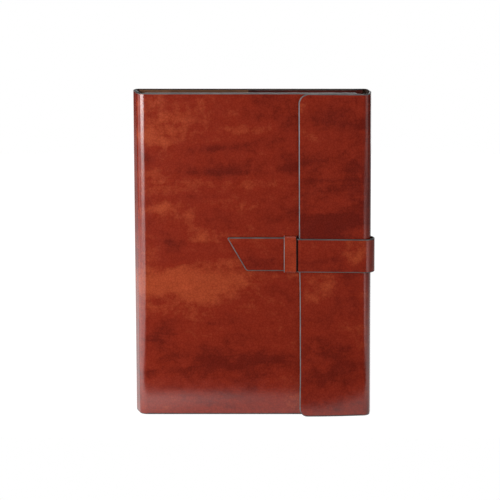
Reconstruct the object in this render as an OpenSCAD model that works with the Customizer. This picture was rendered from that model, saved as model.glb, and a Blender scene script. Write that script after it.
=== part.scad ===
// Document portfolio: two stiffened leather covers on a soft spine, closed by a flap that comes
// round the fore-edge and by a strap whose tongue runs through a keeper on the front cover.
// It stands upright on its lower edges: spine on the left, front cover towards -Y, +Z up.

/* [Paper] */
// Width of the sheets that the portfolio holds
sheet_w = 210; // [200:1:220]
// Height of the sheets that the portfolio holds
sheet_h = 297; // [270:1:310]
// Thickness of the writing pad's block of sheets
sheets_t = 5; // [2:0.5:9]
// Thickness of the writing pad's backing board
backing_t = 1; // [0.6:0.1:2]
// Width of the pad's binding tape over the sheets
binding_w = 12; // [8:1:20]
// Thickness of the pad's binding tape
tape_t = 0.3; // [0.2:0.1:0.6]

/* [Covers] */
// Room from the spine corner to the pad
spine_room = 15; // [13:1:22]
// Room from the pad to the fore-edge corner
edge_room = 18; // [14:1:26]
// Room under the pad
foot_room = 5; // [4:0.5:10]
// Room over the pad, up to the upper edge
head_room = 39; // [15:1:45]
// Distance of the front cover's free edge from the fore-edge corner
front_short = 10.5; // [8:0.5:14]
// Depth left free for loose documents
document_room = 5.6; // [4.5:0.1:20]
// How far the spine leans: offset of its front fold from its back fold
spine_lean = 7.5; // [0:0.5:12]
// Outside radius of the leather folds
fold_r = 6; // [4:0.5:8]
// Outside radius of the rounder fold between spine and front cover
spine_round = 9; // [6:0.5:9.5]
// Radius of the front cover's free corners
front_corner_r = 4; // [2:0.5:10]

/* [Layers] */
// Thickness of the outside leather
skin_t = 1.3; // [1:0.1:2]
// Thickness of the stiffener boards
board_t = 1.4; // [0.8:0.1:2.5]
// Thickness of the lining
lining_t = 0.8; // [0.5:0.1:1.5]
// Glued margin between a cover's edge and its board
board_margin = 5; // [4:0.5:12]
// Glued margin between the spine's folds and its board
spine_margin = 1.5; // [1:0.5:2.5]

/* [Flap] */
// Width of the flap, from the fore-edge corner to its free edge
flap_w = 74.2; // [60:0.1:95]
// Radius of the flap's free corners
flap_corner_r = 8; // [3:0.5:20]
// Gap between flap and front cover at the fore-edge
flap_gap = 3.3; // [2:0.1:6]
// Gap between flap and front cover at the flap's free edge
flap_rest = 0.4; // [0.3:0.1:1.5]
// How far the fore-edge wall leans: offset of its front fold from its back fold
edge_lean = 3; // [0:0.5:6]

/* [Strap] */
// Width of the strap
strap_w = 35.5; // [20:0.5:50]
// Height of the strap's middle over the middle of the covers
strap_up = 2; // [-20:0.5:20]
// Thickness of the strap's face leather
strap_face_t = 1; // [0.8:0.1:2]
// Thickness of the strap's backing leather
strap_backing_t = 0.6; // [0.5:0.1:1.5]
// Length of the tongue past the flap's free edge
tongue_l = 74.3; // [50:0.1:100]
// Length of the slanting cut at the tongue's tip
tip_cut = 20; // [0:0.5:40]
// Inside radius of the strap's bends round the fore-edge
strap_r = 8; // [5:0.5:8]
// Slack of the strap off the fore-edge wall
strap_slack = 2.9; // [1:0.1:4]
// Inside radius of the step down from the flap
step_r = 0.5; // [0.4:0.1:2]
// Length of the strap's sewn end on the back cover
anchor_l = 60; // [30:1:110]

/* [Keeper] */
// Width of the keeper band
keeper_w = 13.4; // [8:0.1:25]
// Distance of the keeper from the flap's free edge
keeper_off = 2.2; // [2:0.1:12]
// Thickness of the keeper's leather
keeper_t = 1.2; // [0.8:0.1:2]
// Outside radius of the keeper's corners
keeper_r = 2; // [1.5:0.1:3.5]
// Room for the tongue between strap and keeper band
keeper_lift = 1.8; // [0.8:0.1:3]
// Room beside the strap inside the keeper
keeper_side = 0.3; // [0.2:0.1:1]

/* [Pockets] */
// Thickness of the pocket leather
pocket_t = 1; // [0.6:0.1:1.6]
// Width of the pockets' sewn margins
seam_w = 3; // [2:0.5:6]
// Inset of the pockets from the edges that they are sewn along
pocket_inset = 0.5; // [0.5:0.5:4]
// Distance of the pad pocket's open edge from the spine corner
pad_pocket_x = 120; // [60:1:180]
// Height of the document pocket
document_pocket_h = 240; // [180:1:290]
// Depth of the document pocket
document_gap = 1.2; // [0.8:0.1:3]
// Width of a card
card_w = 85.6; // [80:0.1:100]
// Height of a card slot
card_slot_h = 50; // [40:1:70]
// Depth of a card slot
card_gap = 1; // [0.8:0.1:2]
// Thickness of a card slot's leather
card_t = 0.8; // [0.6:0.1:1.4]
// Height of the lower card slot over the lower edge
card_z = 60; // [20:1:90]
// Rise from the lower card slot to the upper one
card_rise = 70; // [60:1:100]
// Distance of the card slots from the document pocket's free-edge seam
card_off = 18; // [4:1:60]

/* [Clearances] */
// Gap between the strap and the faces that it lies on
strap_rest = 0.3; // [0.3:0.1:0.8]
// Gap round the boards in their recesses
board_fit = 0.2; // [0.1:0.1:0.5]
// Gap round the pad
pad_clear = 0.25; // [0.2:0.05:0.5]
// Gap beside a card in its slot
card_clear = 1.2; // [0.5:0.1:3]
// Gap round the keeper's ends in their slits
slit_fit = 0.1; // [0.05:0.05:0.3]
// Hairline between a bend and the panel that turns on it
hairline = 0.02; // [0.01:0.01:0.1]

/* [Hidden] */
$fn = 64;
// Colours
leather = "#82261a";
keeper_leather = "#91371f";
suede = "#6b4a38";
board_grey = "#8c8378";
paper = "#f2efe6";
tape = "#2e2a28";
// Overcut that carries a cut past the face it starts from
past = 1;

// Layers of a cover, of unstiffened leather and of the strap
cover_t = skin_t + board_t + lining_t;
leather_t = skin_t + lining_t;
strap_t = strap_face_t + strap_backing_t;
neutral = skin_t / 2;

// Stack of the pad and its pocket on the back cover, from the lining inwards
pad_gap = tape_t + backing_t + 2 * pad_clear;
sheets_y = cover_t + pad_gap + pocket_t + pad_clear;
pad_front = sheets_y + sheets_t + tape_t;
// Stack of the pockets on the front cover, from the lining inwards
card_y = cover_t + document_gap + pocket_t;
card_front = card_y + card_gap + card_t;

// Overall sizes
cover_h = foot_room + sheet_h + head_room;
back_w = spine_room + sheet_w + edge_room;
cover_d = card_front + document_room + pad_front;
flap_stand = flap_gap + leather_t;

// Directions and crossings in plan
function unit(v) = v / norm(v);
function left_of(v) = [-v.y, v.x];
function cross_2d(a, b) = a.x * b.y - a.y * b.x;
function meet(p, u, q, v) = p + u * cross_2d(q - p, v) / cross_2d(u, v);
function heading(v) = atan2(v.y, v.x);
function turn(u, v) = acos(u * v);
// Distance from a corner to where a fold of radius r through the angle a starts
function setback(a, r) = r * tan(a / 2);

// Corners of the outside faces in plan. X is 0 at the back spine corner and Y on the front cover
back_spine = [0, cover_d];
front_spine = [spine_lean, 0];
back_edge = [back_w, cover_d];
front_edge = [back_w + edge_lean, -flap_stand];
front_free = back_w - front_short;
flap_tip = [front_edge.x - flap_w, -flap_rest - leather_t];
right = [1, 0];
left = [-1, 0];
spine_dir = unit(front_spine - back_spine);
gusset_dir = unit(front_edge - back_edge);
flap_dir = unit(flap_tip - front_edge);

// Angles of the four folds and of the strap's bends round the fore-edge
spine_back_a = turn(left, spine_dir);
spine_front_a = turn(spine_dir, right);
edge_back_a = turn(right, gusset_dir);
edge_front_a = turn(gusset_dir, flap_dir);
spine_back_s = setback(spine_back_a, fold_r);
spine_front_s = setback(spine_front_a, spine_round);
edge_back_s = setback(edge_back_a, fold_r);
edge_front_s = setback(edge_front_a, fold_r);
back_x0 = spine_back_s;
back_x1 = back_w - edge_back_s;
front_x0 = spine_lean + spine_front_s;
spine_l = norm(front_spine - back_spine) - spine_back_s - spine_front_s;
gusset_l = norm(front_edge - back_edge) - edge_back_s - edge_front_s;
flap_l = norm(flap_tip - front_edge) - edge_front_s;

// Corners of the strap's inside face in plan, and the step down from the flap to the front cover
side_line = back_edge + left_of(gusset_dir) * strap_slack;
over_flap = front_edge + left_of(flap_dir) * strap_rest;
strap_back = meet(back_edge, right, side_line, gusset_dir);
strap_front = meet(side_line, gusset_dir, over_flap, flap_dir);
strap_back_s = setback(edge_back_a, strap_r);
strap_front_s = setback(edge_front_a, strap_r);
strap_z = cover_h / 2 + strap_up;
side_l = norm(strap_front - strap_back) - strap_back_s - strap_front_s;
strap_start = strap_front + flap_dir * strap_front_s;
step_start = flap_tip + left_of(flap_dir) * strap_rest;
step_out_r = step_r + strap_t;
flap_slant = turn(flap_dir, left);
step_drop = -strap_rest - step_start.y;
step_a = acos((step_r * cos(flap_slant) + step_out_r - step_drop) / (step_r + step_out_r));
step_turn = step_a - flap_slant;
tip_x = flap_tip.x - tongue_l;
// Route of the strap's inside face over the flap, down the step and along the tongue: each
// station is a point and a heading
step_n = 10;
function away(h) = left_of([cos(h), sin(h)]);
over_h = heading(flap_dir);
down_h = over_h - step_turn;
in_centre = step_start - step_r * away(over_h);
out_centre = in_centre + (step_r + step_out_r) * away(down_h);
strap_route = concat([[strap_start, over_h]],
    [for (i = [0:step_n]) let (h = over_h - step_turn * i / step_n) [in_centre + step_r * away(h), h]],
    [for (i = [1:step_n]) let (h = down_h + step_a * i / step_n) [out_centre - step_out_r * away(h), h]],
    [[[tip_x, -strap_rest], heading(left)]]);

// Keeper on the front cover
keeper_x1 = flap_tip.x - keeper_off;
keeper_x0 = keeper_x1 - keeper_w;
keeper_in = strap_rest + strap_t + keeper_lift;
keeper_half = strap_w / 2 + keeper_side;

// The lines on which the folds turn: each keeps the leather's length when the fold lies flat
function fold_line(corner, u, a, inside, r) =
    let (s = (r - neutral) * a * PI / 360)
    corner - u * setback(a, r) + u * s + inside * (r - s / tan(a / 2));
spine_back_line = fold_line(back_spine, left, spine_back_a, left_of(left), fold_r);
spine_front_line = fold_line(front_spine, spine_dir, spine_front_a, left_of(spine_dir), spine_round);
edge_back_line = fold_line(back_edge, right, edge_back_a, -left_of(right), fold_r);
edge_front_line = fold_line(front_edge, gusset_dir, edge_front_a, -left_of(gusset_dir), fold_r);
// The strap lifts about the middle of the second half of its front bend
bend_centre = strap_start - left_of(flap_dir) * strap_r;
lift_dir = heading(left_of(flap_dir)) + edge_front_a / 4;
strap_line = bend_centre + (strap_r + strap_t / 2) * [cos(lift_dir), sin(lift_dir)];

// The origin lies under the middle of the outline
x_low = back_x0 - fold_r;
x_high = bend_centre.x + strap_r + strap_t;
y_low = bend_centre.y - strap_r - strap_t;
y_high = cover_d + strap_t;
shift = -[x_low + x_high, y_low + y_high] / 2;
echo(spine_back_line = spine_back_line + shift, degrees = spine_back_a);
echo(spine_front_line = spine_front_line + shift, degrees = spine_front_a);
echo(edge_back_line = edge_back_line + shift, degrees = edge_back_a);
echo(edge_front_line = edge_front_line + shift, degrees = edge_front_a);
echo(strap_line = strap_line + shift);

// Block between two corners
module block(low, high) {
    translate(low) cube(high - low);
}

// Places what is drawn from a corner of the plan outwards
module in_plan() {
    translate([shift.x, shift.y, 0]) children();
}

// Frame on the back cover: X as in plan, Y inwards from its outside face
module on_back() {
    in_plan() translate([0, cover_d, 0]) mirror([0, 1, 0]) children();
}

// Frame on a panel of the spine side: X along the panel, Y inwards from its outside face
module spine_side(p, u) {
    in_plan() translate([p.x, p.y, 0]) rotate(heading(u)) children();
}

// Frame on a panel of the fore-edge side: X along the panel, Y inwards from its outside face
module edge_side(p, u) {
    in_plan() translate([p.x, p.y, 0]) rotate(heading(u)) mirror([0, 1, 0]) children();
}

// Bent sheet that starts at X 0 and turns inwards about a centre r inside Y 0, up to a hairline
// before the panel that follows it
module bend(r, r_low, r_high, a, h) {
    translate([0, r, 0]) rotate(-90) rotate_extrude(angle = a - hairline / r_low * 180 / PI)
        translate([r_low, 0]) square([r_high - r_low, h]);
}

// Leather fold of all layers
module fold(r, a) {
    bend(r, r - leather_t, r, a, cover_h);
}

// Strap bend between two depths, measured from the strap's inside face outwards
module strap_bend(r, low, high, a) {
    translate([0, 0, strap_z - strap_w / 2]) bend(r, r + low, r + high, a, strap_w);
}

// Straight stretch of strap between two depths
module strap_run(l, low, high) {
    block([0, -high, strap_z - strap_w / 2], [l, -low, strap_z + strap_w / 2]);
}

// What rounding takes off a sheet's corner at X 0, Z 0, for a sheet between two depths
module corner_waste(r, y_low, y_high) {
    difference() {
        block([-past, y_low - past, -past], [r, y_high + past, r]);
        translate([r, y_low - 2 * past, r]) rotate([-90, 0, 0])
            cylinder(r = r, h = y_high - y_low + 4 * past);
    }
}

// Sheet of length l with its two corners at the far end rounded
module sheet(l, y_low, y_high, r) {
    difference() {
        block([0, y_low, 0], [l, y_high, cover_h]);
        translate([l, 0, 0]) mirror([1, 0, 0]) corner_waste(r, y_low, y_high);
        translate([l, 0, cover_h]) mirror([1, 0, 0]) mirror([0, 0, 1]) corner_waste(r, y_low, y_high);
    }
}

// Space of a stiffener board behind the skin, inset by its margins
module board_space(x_low, x_high, margin, fit) {
    block([x_low + margin + fit, skin_t, board_margin + fit],
        [x_high - margin - fit, skin_t + board_t, cover_h - board_margin - fit]);
}

// Pocket sewn on a face: a sheet with its sewn margins, open at the top
module pocket(low, high, y, gap, t, foot, sewn_left) {
    block([low.x, y + gap, low.y], [high.x, y + gap + t, high.y]);
    block([low.x, y, low.y], [high.x, y + gap, low.y + foot]);
    block([high.x - seam_w, y, low.y], [high.x, y + gap, high.y]);
    if (sewn_left) block([low.x, y, low.y], [low.x + seam_w, y + gap, high.y]);
}

// Back cover
module back_skin() {
    color(leather) on_back() block([back_x0, 0, 0], [back_x1, skin_t, cover_h]);
}

module back_board() {
    color(board_grey) on_back() board_space(back_x0, back_x1, board_margin, board_fit);
}

module back_lining() {
    color(suede) on_back() difference() {
        block([back_x0, skin_t, 0], [back_x1, cover_t, cover_h]);
        board_space(back_x0, back_x1, board_margin, 0);
    }
}

module pad_pocket() {
    foot = foot_room - pad_clear - pocket_inset;
    color(leather) on_back()
        pocket([pad_pocket_x, pocket_inset], [back_x1 - pocket_inset, cover_h - pocket_inset],
            cover_t, pad_gap, pocket_t, foot, false);
}

module strap_anchor() {
    color(leather) edge_side(strap_back - right * (strap_back_s + anchor_l), right)
        strap_run(anchor_l, 0, strap_t);
}

// Spine
module spine_back_fold() {
    color(leather) spine_side(back_spine - left * spine_back_s, left) fold(fold_r, spine_back_a);
}

module spine_front_fold() {
    color(leather) spine_side(front_spine - spine_dir * spine_front_s, spine_dir)
        fold(spine_round, spine_front_a);
}

module on_spine() {
    spine_side(back_spine + spine_dir * spine_back_s, spine_dir) children();
}

module spine_skin() {
    color(leather) on_spine() block([0, 0, 0], [spine_l, skin_t, cover_h]);
}

module spine_board() {
    color(board_grey) on_spine() board_space(0, spine_l, spine_margin, board_fit);
}

module spine_lining() {
    color(suede) on_spine() difference() {
        block([0, skin_t, 0], [spine_l, cover_t, cover_h]);
        board_space(0, spine_l, spine_margin, 0);
    }
}

// Front cover
module on_front() {
    spine_side([front_x0, 0], right) children();
}

module front_skin() {
    color(leather) difference() {
        on_front() sheet(front_free - front_x0, 0, skin_t, front_corner_r);
        in_plan() keeper_ends(slit_fit, past);
    }
}

module front_board() {
    color(board_grey) on_front() board_space(0, front_free - front_x0, board_margin, board_fit);
}

module front_lining() {
    color(suede) on_front() difference() {
        sheet(front_free - front_x0, skin_t, cover_t, front_corner_r);
        board_space(0, front_free - front_x0, board_margin, 0);
    }
}

// The keeper's two ends, which go through slits in the front cover's leather
module keeper_ends(fit, over) {
    for (side = [-1, 1])
        translate([0, 0, strap_z + side * (keeper_half + keeper_t / 2)])
            block([keeper_x0 - fit, -over, -keeper_t / 2 - fit],
                [keeper_x1 + fit, skin_t + over, keeper_t / 2 + fit]);
}

// Bar along X whose two corners towards -Y are rounded
module keeper_bar(x_low, x_high, depth, half, r) {
    block([x_low, -depth + r, strap_z - half], [x_high, 0, strap_z + half]);
    block([x_low, -depth, strap_z - half + r], [x_high, 0, strap_z + half - r]);
    for (side = [-1, 1])
        translate([x_low, -depth + r, strap_z + side * (half - r)]) rotate([0, 90, 0])
            cylinder(r = r, h = x_high - x_low);
}

module keeper() {
    color(keeper_leather) in_plan() {
        difference() {
            keeper_bar(keeper_x0, keeper_x1, keeper_in + keeper_t, keeper_half + keeper_t, keeper_r);
            keeper_bar(keeper_x0 - past, keeper_x1 + past, keeper_in, keeper_half, keeper_r - keeper_t);
        }
        keeper_ends(0, 0);
    }
}

module document_pocket() {
    color(leather) in_plan()
        pocket([front_x0 + pocket_inset, pocket_inset],
            [front_free - pocket_inset, pocket_inset + document_pocket_h],
            cover_t, document_gap, pocket_t, seam_w, true);
}

module card_slot(z) {
    x_high = front_free - pocket_inset - seam_w - card_off;
    x_low = x_high - card_w - 2 * card_clear - 2 * seam_w;
    color(leather) in_plan()
        pocket([x_low, z], [x_high, z + card_slot_h], card_y, card_gap, card_t, seam_w, true);
}

module card_slot_lower() {
    card_slot(card_z);
}

module card_slot_upper() {
    card_slot(card_z + card_rise);
}

// Fore-edge wall and flap
module edge_back_fold() {
    color(leather) edge_side(back_edge - right * edge_back_s, right) fold(fold_r, edge_back_a);
}

module edge_front_fold() {
    color(leather) edge_side(front_edge - gusset_dir * edge_front_s, gusset_dir) fold(fold_r, edge_front_a);
}

module on_gusset() {
    edge_side(back_edge + gusset_dir * edge_back_s, gusset_dir) children();
}

module gusset_skin() {
    color(leather) on_gusset() block([0, 0, 0], [gusset_l, skin_t, cover_h]);
}

module gusset_lining() {
    color(suede) on_gusset() block([0, skin_t, 0], [gusset_l, leather_t, cover_h]);
}

module on_flap() {
    edge_side(front_edge + flap_dir * edge_front_s, flap_dir) children();
}

module flap_skin() {
    color(leather) on_flap() sheet(flap_l, 0, skin_t, flap_corner_r);
}

module flap_lining() {
    color(suede) on_flap() sheet(flap_l, skin_t, leather_t, flap_corner_r);
}

// Strap
module strap_back_bend() {
    color(leather) edge_side(strap_back - right * strap_back_s, right)
        strap_bend(strap_r, 0, strap_t, edge_back_a);
}

module strap_side() {
    color(leather) edge_side(strap_back + gusset_dir * strap_back_s, gusset_dir)
        strap_run(side_l, 0, strap_t);
}

module strap_corner_bend() {
    color(leather) edge_side(strap_front - gusset_dir * strap_front_s, gusset_dir)
        strap_bend(strap_r, 0, strap_t, edge_front_a / 2);
}

module strap_front_bend() {
    half = heading(gusset_dir) - edge_front_a / 2;
    u = [cos(half), sin(half)];
    color(leather) edge_side(bend_centre + strap_r * left_of(u), u)
        strap_bend(strap_r, 0, strap_t, edge_front_a / 2);
}

// A layer of the strap from its front bend to the tongue's tip, between two depths
module strap_layer(low, high) {
    last = len(strap_route) - 1;
    outside = [for (s = strap_route) s[0] + high * away(s[1])];
    inside = [for (i = [last:-1:0]) strap_route[i][0] + low * away(strap_route[i][1])];
    difference() {
        in_plan() translate([0, 0, strap_z - strap_w / 2])
            linear_extrude(height = strap_w) polygon(concat(outside, inside));
        tip_waste();
    }
}

// What the slanting cut takes off the tongue: its upper corner stays the longer one
module tip_waste() {
    reach = 2 * tip_cut + past;
    in_plan() translate([tip_x, 0, strap_z + strap_w / 2]) rotate([90, 0, 0])
        linear_extrude(height = 4 * keeper_in, center = true)
            polygon([[0, 0], [tip_cut, -strap_w], [tip_cut, -strap_w - past],
                [-reach, -strap_w - past], [-reach, 0]]);
}

module strap_face() {
    color(leather) strap_layer(strap_backing_t, strap_t);
}

module strap_backing() {
    color(leather) strap_layer(0, strap_backing_t);
}

// Writing pad: its board is tucked behind the pad pocket, its sheets lie before it
module pad_backing() {
    color(board_grey) on_back() block([spine_room, cover_t + pad_clear + tape_t, foot_room],
        [spine_room + sheet_w, cover_t + pad_clear + tape_t + backing_t, foot_room + sheet_h]);
}

module pad_sheets() {
    color(paper) on_back() block([spine_room, sheets_y, foot_room],
        [spine_room + sheet_w, sheets_y + sheets_t, foot_room + sheet_h]);
}

module pad_binding() {
    color(tape) difference() {
        on_back() block([spine_room - tape_t, cover_t + pad_clear, foot_room],
            [spine_room + binding_w, pad_front, foot_room + sheet_h]);
        pad_backing();
        pad_sheets();
    }
}

back_skin();
back_board();
back_lining();
pad_pocket();
strap_anchor();
spine_back_fold();
edge_back_fold();
strap_back_bend();
spine_skin();
spine_board();
spine_lining();
spine_front_fold();
front_skin();
front_board();
front_lining();
keeper();
document_pocket();
card_slot_upper();
card_slot_lower();
gusset_skin();
gusset_lining();
strap_side();
edge_front_fold();
flap_skin();
flap_lining();
strap_corner_bend();
strap_front_bend();
strap_face();
strap_backing();
pad_backing();
pad_sheets();
pad_binding();
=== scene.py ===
"""Finished looks of the leather document portfolio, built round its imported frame."""
import logging
import math
from dataclasses import dataclass, field
from enum import Enum
from typing import Callable, FrozenSet, List, Optional, Sequence, Tuple, Union

import bmesh
import bpy
from mathutils import Matrix, Vector


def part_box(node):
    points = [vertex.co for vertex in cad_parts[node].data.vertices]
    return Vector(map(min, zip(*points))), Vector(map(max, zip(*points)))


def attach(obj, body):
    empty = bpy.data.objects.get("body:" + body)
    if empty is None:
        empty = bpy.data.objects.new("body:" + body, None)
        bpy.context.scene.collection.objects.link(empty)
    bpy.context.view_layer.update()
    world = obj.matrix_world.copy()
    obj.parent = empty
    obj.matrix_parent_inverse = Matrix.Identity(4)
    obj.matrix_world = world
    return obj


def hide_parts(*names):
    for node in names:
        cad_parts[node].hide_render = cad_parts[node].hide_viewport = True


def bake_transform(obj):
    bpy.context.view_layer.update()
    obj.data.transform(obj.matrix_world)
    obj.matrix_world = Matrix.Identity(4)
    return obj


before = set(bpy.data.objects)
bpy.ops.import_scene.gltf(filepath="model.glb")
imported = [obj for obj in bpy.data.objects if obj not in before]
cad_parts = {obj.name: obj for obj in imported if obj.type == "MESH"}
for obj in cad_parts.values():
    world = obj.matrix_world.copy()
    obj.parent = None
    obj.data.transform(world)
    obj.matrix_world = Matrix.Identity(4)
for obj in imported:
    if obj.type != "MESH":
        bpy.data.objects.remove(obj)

Span = Tuple[float, float]
Triple = Tuple[float, float, float]
Colour = Triple
Mesh = bmesh.types.BMesh
Face = bmesh.types.BMFace
Vert = bmesh.types.BMVert
Socket = bpy.types.NodeSocket
Deform = Callable[[Vector], Vector]

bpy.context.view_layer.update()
LOG = logging.getLogger("portfolio")
MM = 0.001
RIGHT = Vector((1.0, 0.0))
LEFT = Vector((-1.0, 0.0))
DIAGONAL = math.sqrt(0.5)
WHITE = (1.0, 1.0, 1.0)

# Meshes are worked in millimetres
NEAR_ENOUGH = 1e-5
SHARP = math.radians(40.0)
CORNER_PARTS = 9
RIM_PARTS = 4
BORDER = 0.4
RIM = 1.1
INNER_RIM = 0.5

# Shares of a face's normal along an axis, by which its zone is told
FLAT = 0.995
LEVEL = 0.5
TOPSIDE = 0.7
UNDERSIDE = -0.3
LEANING = 0.1


class Body(Enum):
    """Bodies of the frame that the pieces ride on."""

    BACK = "back"
    SPINE = "spine"
    FRONT = "front"
    GUSSET = "gusset"
    FLAP = "flap"
    STRAP = "strap"
    PAD = "pad"


class Slot(Enum):
    """Material slots of the record."""

    COVER = "cover_leather"
    STRAP = "strap_leather"
    KEEPER = "keeper_leather"
    POCKET = "pocket_leather"
    SUEDE = "suede"
    BOARD = "board"
    PAPER = "paper"
    TAPE = "tape"


class Zone(Enum):
    """Places of a sheet that can have a finish of their own: the order of its material slots."""

    FACE = 0
    RIM = 1
    INSIDE = 2
    # Rims painted near-black as shade: along feet, on shaded tops and on the inner halves of bends
    SHADE = 3
    CREASE = 4
    # Painted shade on the strap's step where it dips into the keeper's shadow
    DEEP_CREASE = 5


class Side(Enum):
    """Edges of a flat sheet: its two ends along X and its two edges along Z."""

    NEAR = "near"
    FAR = "far"
    FOOT = "foot"
    HEAD = "head"


ALL_ROUND = frozenset(Side)
HEAD_AND_FOOT = frozenset((Side.HEAD, Side.FOOT))
ALL_BUT_NEAR = ALL_ROUND - {Side.NEAR}
ALL_BUT_FAR = ALL_ROUND - {Side.FAR}
ALL_BUT_HEAD = ALL_ROUND - {Side.HEAD}
FAR_AND_FOOT = frozenset((Side.FAR, Side.FOOT))


def left_of(v: Vector) -> Vector:
    """Return the direction to the left of a direction in plan."""
    return Vector((-v.y, v.x))


def heading(angle: float) -> Vector:
    """Return the direction in plan at an angle in radians."""
    return Vector((math.cos(angle), math.sin(angle)))


def meet(p: Vector, u: Vector, q: Vector, v: Vector) -> Vector:
    """Return where two lines in plan cross.

    Args:
        p: Point on the first line.
        u: Direction of the first line.
        q: Point on the second line.
        v: Direction of the second line.

    Returns:
        The crossing.
    """
    return p + u * ((q - p).cross(v) / u.cross(v))


def setback(angle: float, radius: float) -> float:
    """Return how far before a corner a fold through that angle starts."""
    return radius * math.tan(angle / 2)


def smooth(value: float, low: float, high: float) -> float:
    """Return 0 below low, 1 above high and a smooth rise between them."""
    t = min(1.0, max(0.0, (value - low) / (high - low)))
    return t * t * (3 - 2 * t)


def toned(colour: Colour, share: float) -> Colour:
    """Return a colour made darker or lighter by a share."""
    return tuple(min(1.0, share * c) for c in colour)


@dataclass(frozen=True)
class PanelFrame:
    """Where a panel lies in plan: X runs along it, Y inwards from its outside face and Z up."""

    origin: Vector
    along: Vector
    inward: Vector
    shift: Vector

    def matrix(self) -> Matrix:
        """Return the matrix from the panel's millimetres to the row frame's metres.

        Returns:
            The matrix, which turns, moves and scales.
        """
        o = self.origin + self.shift
        turned = Matrix(((self.along.x, self.inward.x, 0, o.x),
                         (self.along.y, self.inward.y, 0, o.y),
                         (0, 0, 1, 0), (0, 0, 0, 1)))
        return Matrix.Scale(MM, 4) @ turned

    def point(self, x: float, y: float, z: float) -> Vector:
        """Return a point of the panel in the row frame, in metres."""
        return self.matrix() @ Vector((x, y, z))


@dataclass(frozen=True)
class Plan:
    """Sizes of the closed portfolio in millimetres, and its corners in plan."""

    cover_h: float = 341.0
    back_w: float = 243.0
    cover_d: float = 24.95
    spine_lean: float = 7.5
    front_short: float = 10.5
    front_corner_r: float = 4.0
    fold_r: float = 6.0
    spine_round: float = 9.0
    skin_t: float = 1.3
    board_t: float = 1.4
    lining_t: float = 0.8
    board_margin: float = 5.0
    spine_margin: float = 1.5
    flap_w: float = 74.2
    flap_corner_r: float = 11.0
    flap_foot_r: float = 8.0
    flap_gap: float = 3.3
    flap_rest: float = 0.4
    edge_lean: float = 3.0
    edge_round: float = 7.5
    strap_w: float = 35.5
    strap_up: float = 2.0
    strap_face_t: float = 1.0
    strap_backing_t: float = 0.6
    strap_r: float = 8.0
    strap_slack: float = 2.9
    strap_rest: float = 0.3
    tongue_l: float = 74.3
    tip_cut: float = 20.0
    step_r: float = 0.5
    anchor_l: float = 60.0
    keeper_w: float = 13.4
    keeper_off: float = 2.2
    keeper_t: float = 1.2
    keeper_r: float = 2.0
    keeper_lift: float = 1.8
    keeper_side: float = 0.3

    @property
    def cover_t(self) -> float:
        """Thickness of a stiffened cover."""
        return self.skin_t + self.board_t + self.lining_t

    @property
    def leather_t(self) -> float:
        """Thickness of leather and lining without a board."""
        return self.skin_t + self.lining_t

    @property
    def strap_t(self) -> float:
        """Thickness of the strap."""
        return self.strap_face_t + self.strap_backing_t

    @property
    def strap_z(self) -> float:
        """Height of the strap's middle."""
        return self.cover_h / 2 + self.strap_up

    @property
    def back_spine(self) -> Vector:
        """Outside corner between back cover and spine."""
        return Vector((0.0, self.cover_d))

    @property
    def front_spine(self) -> Vector:
        """Outside corner between spine and front cover."""
        return Vector((self.spine_lean, 0.0))

    @property
    def back_edge(self) -> Vector:
        """Outside corner between back cover and fore-edge wall."""
        return Vector((self.back_w, self.cover_d))

    @property
    def front_edge(self) -> Vector:
        """Outside corner between fore-edge wall and flap."""
        return Vector((self.back_w + self.edge_lean, -self.flap_gap - self.leather_t))

    @property
    def flap_tip(self) -> Vector:
        """Free edge of the flap on its outside face."""
        return Vector((self.front_edge.x - self.flap_w, -self.flap_rest - self.leather_t))

    @property
    def spine_dir(self) -> Vector:
        """Direction of the spine from the back cover to the front cover."""
        return (self.front_spine - self.back_spine).normalized()

    @property
    def gusset_dir(self) -> Vector:
        """Direction of the fore-edge wall from the back cover to the flap."""
        return (self.front_edge - self.back_edge).normalized()

    @property
    def flap_dir(self) -> Vector:
        """Direction of the flap from the fore-edge to its free edge."""
        return (self.flap_tip - self.front_edge).normalized()

    @property
    def spine_back_a(self) -> float:
        """Angle of the fold between back cover and spine."""
        return Vector((-1.0, 0.0)).angle(self.spine_dir)

    @property
    def spine_front_a(self) -> float:
        """Angle of the fold between spine and front cover."""
        return self.spine_dir.angle(Vector((1.0, 0.0)))

    @property
    def edge_back_a(self) -> float:
        """Angle of the fold between back cover and fore-edge wall."""
        return Vector((1.0, 0.0)).angle(self.gusset_dir)

    @property
    def edge_front_a(self) -> float:
        """Angle of the fold between fore-edge wall and flap."""
        return self.gusset_dir.angle(self.flap_dir)

    @property
    def back_x(self) -> Span:
        """Ends of the back cover's flat part along X."""
        return setback(self.spine_back_a, self.fold_r), self.back_w - setback(self.edge_back_a, self.fold_r)

    @property
    def front_x(self) -> Span:
        """Ends of the front cover's flat part along X."""
        return self.spine_lean + setback(self.spine_front_a, self.spine_round), self.back_w - self.front_short

    @property
    def spine_l(self) -> float:
        """Width of the spine's flat part."""
        whole = (self.front_spine - self.back_spine).length
        return whole - setback(self.spine_back_a, self.fold_r) - setback(self.spine_front_a, self.spine_round)

    @property
    def gusset_l(self) -> float:
        """Width of the fore-edge wall's flat part."""
        whole = (self.front_edge - self.back_edge).length
        return whole - setback(self.edge_back_a, self.fold_r) - setback(self.edge_front_a, self.edge_round)

    @property
    def flap_l(self) -> float:
        """Width of the flap's flat part."""
        return (self.flap_tip - self.front_edge).length - setback(self.edge_front_a, self.edge_round)

    @property
    def strap_front(self) -> Vector:
        """Corner of the strap's inside face at the front of the fore-edge.

        Returns:
            The corner in plan.
        """
        side = self.back_edge + left_of(self.gusset_dir) * self.strap_slack
        over = self.front_edge + left_of(self.flap_dir) * self.strap_rest
        return meet(side, self.gusset_dir, over, self.flap_dir)

    @property
    def strap_start(self) -> Vector:
        """Where the strap's front bend ends and its run over the flap starts, on its inside face."""
        return self.strap_front + self.flap_dir * setback(self.edge_front_a, self.strap_r)

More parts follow.
